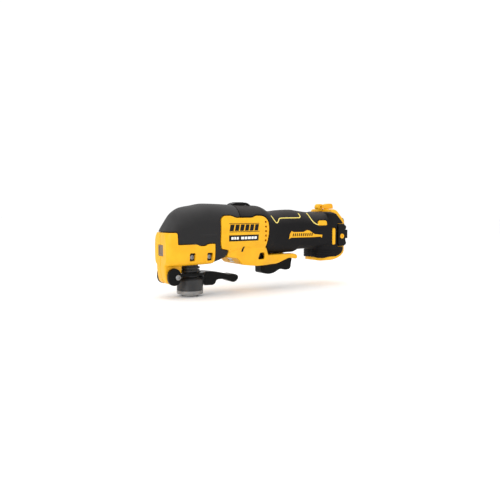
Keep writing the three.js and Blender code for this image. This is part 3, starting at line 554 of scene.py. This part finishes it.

# %% [markdown]
# ## Finishing a piece
# Every piece ends the same way: scaled into metres, shaded smooth except at true edges, given its
# finish, and tied to the CAD body that it moves with; the CAD node that it stands for is hidden.

# %% Hand a piece to the frame
def finish_piece(piece, name, body, slot, replaces=(), finish=None, sharp=40):
    piece.name = name
    piece.data.name = name
    piece.data.transform(METRES)
    piece.data.materials.clear()
    piece.data.materials.append(FINISH[finish or slot])
    piece.data.polygons.foreach_set("use_smooth", [True] * len(piece.data.polygons))
    if sharp:
        piece.data.set_sharp_from_angle(angle=math.radians(sharp))
    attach(piece, body)
    if replaces:
        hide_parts(*replaces)
    piece.data.calc_loop_triangles()
    print(name, len(piece.data.loop_triangles), "triangles")
    return piece


# %% [markdown]
# ## Head boot
# The boot is a rubber sock over the gear head. It is the body form with a slightly smaller one taken
# out, trimmed to the seam and opened round the yellow covers. A thin ridge marks where a thumb rests.

# %% Boot
def boot():
    skin = cut(body_form(0), body_form(SKIN), block(SEAM_X, 300, -80, 80, 0, 160))
    ridge = [(1, 75.2, 0.4), (24.5, 75.2, 0.4), (24.5, 76.4, 0.4), (1, 76.4, 0.4)]
    for low, high in ((-60, -20), (20, 60)):
        join(skin, within(slab(ridge, low, high), body_form(-0.5)))
    cut(skin, slab(grown(HEAD_SIDE, 0.6)), slab(grown(PANEL, 0.7)), chin_form(0.6))
    return cast(skin, 0.75, 5)


finish_piece(boot(), "boot", "tool_body", "boot_rubber", ["head_boot"], sharp=0)

# %% [markdown]
# ## Grip skins
# Two rubber halves cover the motor, the waist and the foot. Their shape is body plus foot pads, and
# the cuts leave a dark gap round each yellow part. Low grooves run round the toe of the foot.

# %% Grip skins
def toe_grooves():
    return [cut(block(180, 222, -40, 40, z, z + 1), foot_pads(0.8)) for z in (42.2, 45.6, 49)]


def grip(side):
    skin = join(body_form(0), foot_pads())
    cut(skin, body_form(SKIN), foot_pads(SKIN), block(-60, SEAM_X + 0.5, -80, 80, 0, 160), foot_core(0.2),
        slab(grown(PANEL, 0.7)), slab(grown(BAR, 0.4)), slab(grown(TAB, 0.4)), slab(grown(LATCH_NOTCH, 0.3)),
        chin_form(0.6), trigger_well(), block(63, 83.5, -4.6, 4.6, 100, 125))
    if side > 0:
        cut(skin, *(rod("y", 3.6, seat - 2, 60, (x, z)) for x, z, seat in RIGHT_SCREWS))
    return cut(cast(within(skin, side_half(side)), 0.75, 5), *toe_grooves())


HEAD_SCREWS = [(-8, 50.3), (15.6, 50)]
HEAD_SCREW_SEAT = 22.6
LEFT_SCREW = (93, 47)
LEFT_SCREW_SEAT = 17.5
RIGHT_SCREWS = [(54, 53, 18), (134, 57, 18), (151, 61, 18), (205, 45.5, 22), (222, 46.5, 22)]
SIDES = [(-1, "left"), (1, "right")]
for side, word in SIDES:
    finish_piece(grip(side), f"grip_skin_{word}", "tool_body", "grip_rubber", [f"grip_{word}"], sharp=60)

# %% [markdown]
# ## Head covers
# The yellow covers wrap the front of the head and carry the nose plate that the lever hinges on.
# Two square windows show the screws that clamp the covers to the gear case.

# %% Head covers
NOSE = [(-39.3, 66), (-39.3, 30, 8), (-35.5, 17.4, 5), (-20.5, 17.4, 3), (-17, 30, 3), (-16, 40), (-16, 44)]
PIVOT = (-24.7, 26.3)


def head_cover(side):
    cover = within(cut(body_form(-PROUD), body_form(2)), slab(HEAD_SIDE))
    nose = cut(slab(NOSE, -12, 12, edge=1.8), block(-34, -12, -30, 30, 43.5, 70))
    windows = [slab([(x - 3.6, z - 4.9, 0.8), (x + 3.6, z - 4.9, 0.8),
                     (x + 3.6, z + 4.9, 0.8), (x - 3.6, z + 4.9, 0.8)], -40, -21.4) for x, z in HEAD_SCREWS]
    join(cover, nose, *(rod("y", 4.4, -23.2, 23.2, at) for at in HEAD_SCREWS))
    cut(cover, block(-45, -35.6, -7.3, 7.3, 51.7, 65.3), rod("y", 2.3, -30, 30, PIVOT),
        rod("z", 14.3, 30, 45.5), rod("z", 20, 44.7, 100), block(0, 30, -19.6, 19.6, 60, 104),
        *windows, *(rod("y", 3.4, -30, -20, at) for at in HEAD_SCREWS))
    return cast(within(cover, side_half(side)), 0.55, 3)


for side, word in SIDES:
    finish_piece(head_cover(side), f"head_cover_{word}", "tool_body", "yellow_nylon",
                 [f"head_shell_{word}"], sharp=0)

# %% [markdown]
# ## Housing
# One yellow clamshell half holds the side panel, the chin over the trigger, the rim round the foot
# and two small accents. Only those parts reach the surface, so they are cast with soft edges, and
# a plain inner tube joins them under the skin.

# %% Housing halves
VENTS = [92.6 - 5.9 * row for row in range(5)]


SLIT = [(60.4, 54), (63.2, 54), (65.2, 60.6), (62.4, 60.6)]


def housing(side):
    shown = within(cut(body_form(-PROUD), body_form(SKIN + GAP + WALL)), slab(PANEL))
    join(shown, cut(chin_form(), chin_form(-WALL)))
    cut(shown, body_form(SKIN + GAP + WALL))
    core = cut(foot_core(), foot_core(WALL), body_form(SKIN + GAP + WALL))
    join(core, cut(within(foot_pads(-0.6), slab(BAR)), foot_pads(2)))
    join(core, cut(within(join(body_form(-0.6), foot_pads(-0.6)), slab(TAB)), body_form(4)))
    cut(core, cut(slab(LATCH_NOTCH), block(200, 235.2, -22.6, 22.6, 40, 100)),
        slab(PACK_SECTION, 150, 260, "x"), block(234.9, 260, -20.6, 20.6, 56.6, 95.6),
        block(217, 226, -1.8, 1.8, 104, 120))
    join(shown, core)
    outward = (-60, -17.6) if side < 0 else (17.6, 60)
    cut(shown, trigger_well(), slab(grown(LENS, GAP), -6.3, 6.3), block(63.5, 83, -4.3, 4.3, 100, 125),
        *(block(94.2, 97.4, -70, 70, z - 2.6, z) for z in VENTS))
    if side < 0:
        cut(shown, slab(POCKET, *outward))
    else:
        cut(shown, *(rod("y", 3.4, seat - 2.5, 60, (x, z)) for x, z, seat in RIGHT_SCREWS))
    return cut(cast(within(shown, side_half(side)), 0.7, 3), slab(SLIT))


def inner_tube(side):
    tube = cut(body_form(3.3), body_form(SKIN + GAP + WALL), block(-60, 98, -80, 80, 0, 160),
               block(205, 260, -80, 80, 0, 160), trigger_well(), block(90, 160, -15, 15, 40, 54))
    return within(tube, side_half(side))


for side, word in SIDES:
    finish_piece(join(housing(side), inner_tube(side)), f"housing_shell_{word}", "tool_body", "yellow_nylon",
                 [f"housing_{word}"], sharp=60)

# %% [markdown]
# ## Printed marks on the panel
# The panel carries a badge and a dark label. No lettering is drawn: the badge is a row of slanted
# bars between two lines, and the label has plain white dashes. Each is a thin leaf that follows the
# curve of the panel, made by keeping the part of a slab between two body forms.

# %% Leaves that follow the panel
def leaf(outlines, side, lift, thickness=0.35):
    low, high = (-70, 0) if side < 0 else (0, 70)
    sheet = cut(body_form(-PROUD - lift), body_form(-PROUD - lift + thickness))
    return within(sheet, join(*(slab(outline, low, high) for outline in outlines)))


def box_outline(x0, x1, z0, z1, lean=0):
    return [(x0, z0), (x1, z0), (x1 + lean, z1), (x0 + lean, z1)]


BADGE = [box_outline(40.8, 84.6, 79.4, 80.1), box_outline(40.8, 84.6, 89.6, 90.3)]
BADGE += [box_outline(40.8 + 7.2 * bar, 46.2 + 7.2 * bar, 80.9, 88.8, 1.8) for bar in range(6)]
DASHES = [(43.2, 3), (47.2, 2.4), (50.6, 3), (57, 4.4), (62.4, 3.4), (66.8, 4.6), (72.4, 3.4), (76.8, 3.8)]
for side, word in SIDES:
    finish_piece(leaf(BADGE, side, 0.15), f"badge_{word}", "tool_body", "label_black", [f"nameplate_{word}"])
    bar = leaf([box_outline(40.2, 83.6, 68, 75.6)], side, 0.15)
    finish_piece(bar, f"label_film_{word}", "tool_body", "label_black", [f"label_bar_{word}"])
    dashes = leaf([box_outline(x, x + width, 70.2, 73.4) for x, width in DASHES], side, 0.3)
    finish_piece(dashes, f"label_dashes_{word}", "tool_body", "label_black", finish="print_white")

# %% [markdown]
# ## Accessory clamp
# The holder, the flange and the lever's pin are turned parts, so each is a profile spun about its
# axis. A bevel breaks the edges as a lathe tool does.

# %% Holder and flange
FLANGE_HOLES = [(i + 0.5) * math.pi / 4 for i in range(8)]
HOLDER = [(0, 8), (16.4, 8), (16.4, 20.8), (15.2, 22.6), (12.9, 24), (10.3, 24.2), (10.3, 31), (12.5, 31.2),
          (12.5, 33), (10.3, 33.2), (10.3, 34.6), (12.5, 34.8), (12.5, 36.6), (10.3, 36.8), (10.3, 41), (0, 41)]
holder = turned(HOLDER)
holder = soften(cut(holder, rod("z", 7.3, 0, 60), rod("z", 9.1, 26, 60)), 0.3)
finish_piece(holder, "clamp_holder", "accessory_holder", "gloss_black", ["accessory_holder"], "satin_black")
flange = turned([(0, 0), (10.2, 0), (10.2, 3.4), (16.4, 3.4), (16.4, 7.6), (0, 7.6)])
pins = [rod("z", 1.5, 4.2, 10, (12.6 * math.cos(turn), 12.6 * math.sin(turn)), 16) for turn in FLANGE_HOLES]
flange = soften(cut(flange, rod("z", 5.3, 1.6, 12), rod("z", 4, -1, 0.8, (0, 0), 6), *pins), 0.35)
finish_piece(flange, "flange_disc", "spindle_set", "bright_steel", ["clamp_flange"])

# %% [markdown]
# ## Blade lever
# The lever has two round ears on the nose, a collar round the holder and an arm for the thumb that
# ends in a lobe. It is joined from slabs and a ring, then cast so that they run into one another.

# %% Lever
EAR = [(-36.8, 21, 4), (-32, 16.4, 4), (-24.5, 16.4, 4), (-20.6, 21, 3), (-20.2, 31, 3), (-24.4, 37.4, 4),
       (-32, 37.4, 4), (-36.8, 32.5, 4)]
ARM = [(13, 30.2, 1), (13, 12.8, 1), (31, 12.3, 4), (33.5, 19, 2.5), (45, 19, 4), (53, 15.6, 4),
       (58.5, 13.6, 4), (65, 15.6, 4), (66, 21.5, 4), (61, 25, 4), (51, 24.2, 4), (42, 27.4, 4), (23, 30.2, 4)]


def lever():
    collar = cut(rod("z", 19.6, 26.9, 30.2, steps=64), block(-30, 0, -12, 12, 0, 60))
    made = cut(join(collar, slab(ARM, -9, 9, edge=2.4)), rod("z", 13.8, 20, 40, steps=64),
               rod("z", 17.6, 0, 26, steps=64))
    for low, high, inner, outer in ((-17.6, -12.6, -14, -11), (12.6, 17.6, 11, 14)):
        join(made, slab(EAR, low, high, edge=1.3), block(-24, 4, low, high, 26.9, 30.2),
             block(-2.2, 2.2, inner, outer, 26.9, 30.7))
    return cast(cut(made, rod("y", 2.3, -30, 30, PIVOT)), 0.45, 4)


finish_piece(lever(), "blade_lever", "lever", "gloss_black", ["lever"], sharp=0)

# %% [markdown]
# ## Screws and pins
# All the screws are pan heads with a six-lobed socket. The socket is a star-shaped slab, so one
# function serves every screw, whichever way it faces.

# %% Pan-head screws and the lever's pin
def star(x, z, radius, low, high):
    points = []
    for i in range(12):
        reach = radius if i % 2 else radius * 0.72
        turn = i * math.pi / 6
        points.append((x + reach * math.cos(turn), z + reach * math.sin(turn), 0.18 * radius))
    return slab(points, low, high, steps=2)


def screw(x, z, side, seat, length):
    profile = [(0, seat), (1.9, seat), (2.6, seat - 0.3), (2.9, seat - 1), (2.9, seat - 2.2), (1.5, seat - 2.2),
               (1.5, seat - length + 1), (0.9, seat - length), (0, seat - length)]
    outward = [(radius, side * height) for radius, height in profile]
    low, high = sorted((side * (seat - 1.2), side * (seat + 2)))
    return cut(turned(outward, "y", (x, z), 32), star(x, z, 1.5, low, high))


head_lengths = (8.6, 10.4)
for i, (x, z) in enumerate(HEAD_SCREWS):
    # Each cover window gets a thin black sheet at its floor, painted shade for the deep recess round the screw.
    window_shade_sheet = slab(box_outline(x - 3.5, x + 3.5, z - 4.8, z + 4.8), -21.7, -21.2)
    cut(window_shade_sheet, rod("y", 3.1, -30, 0, (x, z)))
    finish_piece(window_shade_sheet, f"window_shade_{i + 1}", "tool_body", "black_nylon")
    finish_piece(screw(x, z, -1, HEAD_SCREW_SEAT, head_lengths[i]), f"cover_screw_{i + 1}", "tool_body",
                 "bright_steel", [f"head_screw_{i + 1}"])
finish_piece(screw(*LEFT_SCREW, -1, LEFT_SCREW_SEAT, 3.6), "case_screw_1", "tool_body", "dark_steel",
             ["body_screw_1"])
for i, (x, z, seat) in enumerate(RIGHT_SCREWS):
    finish_piece(screw(x, z, 1, seat, 2 * seat - 9), f"case_screw_{i + 2}", "tool_body", "dark_steel",
                 [f"body_screw_{i + 2}"])
pivot_pin = turned([(0, -19.5), (2.6, -19.5), (3.3, -18.9), (3.3, -17.9), (2, -17.9), (2, 17.9), (3.3, 17.9),
                    (3.3, 18.9), (2.6, 19.5), (0, 19.5)], "y", PIVOT, 40)
finish_piece(cut(pivot_pin, star(*PIVOT, 1.9, -25, -18.4)), "pivot_pin", "tool_body", "bright_steel",
             ["lever_pin"])
# A thin black sheet at the floor of the screw pocket is painted shade for the recess.
pocket_shade_sheet = slab(grown(POCKET, -0.2), -17.5, -16.9)
finish_piece(cut(pocket_shade_sheet, rod("y", 3.1, -30, 0, LEFT_SCREW)), "pocket_shade", "tool_body", "black_nylon")
for side, word in SIDES:
    low, high = sorted((side * 20, side * 60))
    plug_body = cut(join(body_form(-0.75), chin_form()), body_form(4))
    finish_piece(within(slab(SLIT, low, high), plug_body), f"slit_plug_{word}", "tool_body", "black_nylon")

# %% [markdown]
# ## Trigger
# A long paddle under the chin. Its front corners are well rounded in plan, which draws the bright
# upright line at its front, and its underside dips for two fingers.

# %% Trigger paddle
TRIGGER = [(102.4, 44, 1), (102.4, 22.6, 4), (118, 19.8, 7), (133, 27.6, 5), (140, 24.6, 4), (149.6, 25.4, 4),
           (151, 36, 3), (152, 41, 2), (151.4, 46, 2), (146.4, 46, 2), (138, 41.2, 4), (130, 38.4, 4), (122, 38, 3),
           (116, 44, 1)]
TRIGGER_PLAN = [(102.4, -10, 4), (160, -10, 3), (160, 10, 3), (102.4, 10, 4)]
paddle = within(slab(TRIGGER, -10, 10), slab(TRIGGER_PLAN, 0, 60, "z"))
join(paddle, block(108, 112, -3, 3, 38, 47))
finish_piece(cast(cut(paddle, rod("y", 2.2, -20, 20, (149, 43.6))), 0.5, 5), "trigger_paddle", "trigger",
             "gloss_black", ["trigger"], sharp=0)

# %% [markdown]
# ## Battery end
# The pack slides into the foot from behind. Only its cap shows, with a scalloped release button on
# each side. The button has a yellow eyelet at its middle.

# %% Cap, sleeve and release buttons
CAP_PLAN = [(235.3, -20), (239.5, -19.5, 3), (246, -8, 6), (246, 8, 6), (239.5, 19.5, 3), (235.3, 20)]
CAP_SIDE = [(230, 57.2), (243, 57.2, 4), (247, 62, 4), (247, 79, 5), (241, 86.5, 5), (236.5, 95, 2), (230, 95)]
LATCH = [(220.6, 60, 3), (222, 55.6, 2.5), (231.4, 55.4, 2.5), (236, 58.6, 2.5), (233.6, 63, 2),
         (233.6, 78.6, 2), (236, 82.4, 2.5), (231.4, 86, 2.5), (222, 85.8, 2.5), (220.6, 81, 3)]
EYE = (227.2, 69.3)
cap = within(slab(CAP_PLAN, 50, 100, "z"), slab(CAP_SIDE))
grooves = [block(244.2, 250, -12, 12, z, z + 1.2) for z in (64, 67, 70, 73, 76)]
cap = cut(cap, block(235.9, 238.4, -30, -14.5, 65, 79), block(235.9, 238.4, 14.5, 30, 65, 79), *grooves)
finish_piece(cast(cap, 0.45, 3), "battery_cap", "battery", "black_nylon", ["pack_cap"], sharp=0)
sleeve = cut(slab(PACK_SECTION, 165, 235, "x"), slab(grown(PACK_SECTION, -1), 166.5, 240, "x"),
             *(block(160, 167.5, y - 0.9, y + 0.9, 73, 77) for y in (-9, -3, 3, 9)))
finish_piece(sleeve, "battery_sleeve", "battery", "black_nylon", ["pack_sleeve"])


def release_button(side):
    pad = slab(LATCH, 25.6, 28, edge=0.7)
    join(pad, block(230, 238, 25.6, 27.2, 66, 78), block(236.3, 238, 17.5, 27.2, 66, 78))
    cut(pad, rod("y", 3.7, 27, 30, EYE))
    return pad if side > 0 else mirrored(pad)


def mirrored(piece):
    bm = bmesh.new()
    bm.from_mesh(piece.data)
    bpy.data.objects.remove(piece)
    bmesh.ops.scale(bm, vec=(1, -1, 1), verts=bm.verts)
    return as_object(bm, "mirrored")


for side, word in SIDES:
    low, high = sorted((side * 22.3, side * 22.95))
    back = slab([(220.2, 54.8, 2.6), (236, 54.8, 1), (236, 86.6, 1), (220.2, 86.6, 2.6)], low, high)
    finish_piece(back, f"button_backing_{word}", "tool_body", "black_nylon")
    finish_piece(release_button(side), f"release_button_{word}", f"latch_{word}", "grip_rubber",
                 [f"latch_button_{word}"])
    eyelet = soften(cut(rod("y", 3.4, 27.3, 28.4, EYE), rod("y", 1.7, 27.5, 30, EYE)), 0.25)
    finish_piece(eyelet if side > 0 else mirrored(eyelet), f"eyelet_{word}", f"latch_{word}", "yellow_nylon",
                 [f"latch_eye_{word}"])

# %% [markdown]
# ## Small parts
# The lock slider sits on top with four ribs for the thumb. The hang loop stands on the foot. The
# nose insert and the lamp lens close the two openings at the front.

# %% Slider, loop, insert and lens
SLIDER = [(58, 109), (86, 109), (86, 112.9, 1), (80.5, 116.4, 3), (62, 116.4, 3), (58, 113.9, 1)]
slider = cut(soften(slab(SLIDER, -7.5, 7.5), 1.2), body_form(-GAP))
thumb_ribs = [block(x - 0.6, x + 0.6, -5.5, 5.5, 115.5, 116.9) for x in (66, 69, 72, 75)]
join(slider, block(65, 76, -3.9, 3.9, 104.8, 115), *thumb_ribs)
finish_piece(cast(slider, 0.3, 3), "thumb_slider", "lock_slider", "gloss_black", ["lock_slider"], sharp=0)
LOBES = [(202.6, 107.8, 1), (230.6, 107.8, 1), (231, 111, 2), (229.5, 115.4, 3), (220.5, 115.2, 2),
         (215, 112.8, 3), (209, 114.8, 3), (204, 114.6, 3), (202, 111, 2)]
loop = join(slab(LOBES, -4, 4, edge=1.2), block(218, 225, -1.5, 1.5, 105, 109),
            block(203.6, 211, -3, 3, 104.4, 109))
finish_piece(cast(cut(loop, rod("y", 1.8, -20, 20, (208.4, 110.6))), 0.4, 3), "belt_loop", "tool_body",
             "yellow_nylon", ["hang_loop"], sharp=0)
insert = slab([(-7, 52, 1), (7, 52, 1), (7, 65, 1), (-7, 65, 1)], -38.8, -36, "x")
insert = cut(insert, slab([(-5, 54, 1), (5, 54, 1), (5, 63, 1), (-5, 63, 1)], -45, -38, "x"))
finish_piece(soften(insert, 0.3), "nose_window", "tool_body", "insert_grey", ["nose_insert"])
finish_piece(soften(slab(LENS, -6, 6), 0.4), "lamp_lens", "tool_body", "clear_lens", ["led_lens"])

# %% [markdown]
# ## Piping and the side flash
# A pale bead is moulded into the rubber round the palm areas. It is a curve with a round section,
# dropped on to the body surface point by point, then turned into a mesh. The yellow flash is a
# tapering leaf with slanted slots, a plain pattern of bars.

# %% Piping
def bead(path, side, radius=0.75):
    line = bpy.data.curves.new("bead", "CURVE")
    line.dimensions = "3D"
    line.bevel_depth = radius
    line.bevel_resolution = 3
    line.use_fill_caps = True
    points = []
    for (x0, z0), (x1, z1) in zip(path, path[1:]):
        count = max(1, round(math.hypot(x1 - x0, z1 - z0) / 1.5))
        points += [(x0 + (x1 - x0) * i / count, z0 + (z1 - z0) * i / count) for i in range(count)]
    points.append(path[-1])
    for _ in range(3):
        threes = zip(points, points[1:], points[2:])
        middle = [tuple((a + 2 * b + c) / 4 for a, b, c in zip(*three)) for three in threes]
        points = [points[0], *middle, points[-1]]
    spline = line.splines.new("POLY")
    spline.points.add(len(points) - 1)
    for point, (x, z) in zip(spline.points, points):
        point.co = (x, side * (skin_y(x, z) - 0.15), z, 1)
    curve = bpy.data.objects.new("bead", line)
    bpy.context.scene.collection.objects.link(curve)
    bpy.context.view_layer.update()
    mesh = bpy.data.meshes.new_from_object(curve.evaluated_get(bpy.context.evaluated_depsgraph_get()))
    bpy.data.objects.remove(curve)
    bm = bmesh.new()
    bm.from_mesh(mesh)
    return as_object(bm, "bead")


PALM = [(109.5, 99), (113, 93), (116.4, 88.6), (119.5, 90.5), (122.6, 95.4), (128, 95.8), (159, 95.8),
        (160.4, 97.5), (158.6, 101.5)]
HEEL = [(174.5, 101.6), (175.2, 95), (178, 90), (181.5, 87.2), (186, 86)]
FLASH = [(137.4, 67.6), (138.6, 74.5), (141.4, 78.2), (145, 76.8), (161, 76.6), (167, 79), (171, 78.2), (179, 73.4),
         (192.3, 72), (191.6, 67.6), (190, 69.6), (176, 69.2), (140.5, 69.4)]
SLOTS = [box_outline(143 + 3.4 * i, 145 + 3.4 * i, 71, 75, 1) for i in range(10)]
for side, word in SIDES:
    finish_piece(bead(PALM, side), f"palm_piping_{word}", "tool_body", "yellow_nylon", finish="pale_piping")
    finish_piece(bead(HEEL, side), f"heel_piping_{word}", "tool_body", "yellow_nylon", finish="pale_piping")
    low, high = (-70, 0) if side < 0 else (0, 70)
    band = within(cut(body_form(-0.3), body_form(0.3)),
                  cut(slab(FLASH, low, high), *(slab(slot) for slot in SLOTS)))
    finish_piece(band, f"side_flash_{word}", "tool_body", "yellow_nylon")

# %% [markdown]
# ## Inner parts
# The drive train, the motor, the electronics and the cells keep their CAD shapes. Each gets the
# finish of its own material.

# %% Carried-over nodes
CARRIED = {
    "bright_steel": ["holder_spring", "trigger_pin"],
    "dark_steel": ["drive_fork", "rotor_core"],
    "ground_steel": ["spindle", "rotor_shaft", "lower_bearing", "upper_bearing", "eccentric_bearing",
                     "front_motor_bearing", "rear_motor_bearing"],
    "cast_alloy": ["gear_case", "counterweight"],
    "windings": ["stator_core"],
    "gloss_black": ["cooling_fan"],
    "black_nylon": ["switch_module"],
    "insert_grey": ["terminal_block"],
    "circuit_board": ["controller_board", "led_board"],
    "cell_steel": ["battery_cell_1", "battery_cell_2", "battery_cell_3"],
}
for slot, names in CARRIED.items():
    for name in names:
        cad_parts[name].data.materials.clear()
        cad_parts[name].data.materials.append(FINISH[slot])
print(sum(map(len, CARRIED.values())), "CAD nodes keep their shape")

# %% [markdown]
# ## Floor, light and camera
# The tool stands on a plain pale floor under soft studio lights: a large one above, a key from the
# front left that brightens the nose, and a weak fill. The camera looks at the left side, a little
# from the front and slightly from above.

# %% Floor and sky
bm = bmesh.new()
bmesh.ops.create_circle(bm, cap_ends=True, segments=96, radius=6000)
floor = as_object(bm, "floor")
floor.data.transform(METRES)
paper = Finish("floor_paper", Specular_IOR_Level=0.1)
fibre = paper.noise(30, 3)
paper_color = paper.mix(fibre, (0.96, 0.96, 0.96), (0.98, 0.98, 0.98))
floor.data.materials.append(paper.apply_surface(paper_color, 0.85 + 0.05 * fibre))
world = bpy.data.worlds.new("studio")
bpy.context.scene.world = world
world.use_nodes = True
world.node_tree.nodes["Background"].inputs["Color"].default_value = (1, 1, 1, 1)
world.node_tree.nodes["Background"].inputs["Strength"].default_value = 1.05


# %% [markdown]
# Each lamp is a large disc that faces the middle of the tool, so its highlights stay broad and soft.

# %% Soft boxes and camera
CENTRE = Vector((0.0895, 0, 0.0535))


def facing_centre(place):
    return Matrix.Translation(place) @ (place - CENTRE).to_track_quat("Z", "Y").to_matrix().to_4x4()


def soft_box(name, place, size, power):
    lamp = bpy.data.lights.new(name, "AREA")
    lamp.shape = "DISK"
    lamp.size = size
    lamp.energy = power
    made = bpy.data.objects.new(name, lamp)
    bpy.context.scene.collection.objects.link(made)
    made.matrix_world = facing_centre(Vector(place))


soft_box("key", (-0.95, -0.5, 0.5), 0.7, 3.2)
soft_box("top", (0.1, 0.1, 1.1), 0.9, 3.0)
soft_box("fill", (0.75, -1.0, 0.35), 0.8, 0.4)
azimuth, elevation, distance = math.radians(-33), math.radians(4.5), 0.745
back = Vector((math.sin(azimuth) * math.cos(elevation), -math.cos(azimuth) * math.cos(elevation),
               math.sin(elevation)))
camera = bpy.data.objects.new("camera", bpy.data.cameras.new("camera"))
bpy.context.scene.collection.objects.link(camera)
camera.data.lens = 40.32
camera.data.clip_start = 0.01
camera.matrix_world = facing_centre(CENTRE + back * distance)
bpy.context.scene.camera = camera
bpy.context.scene.view_settings.view_transform = "Standard"
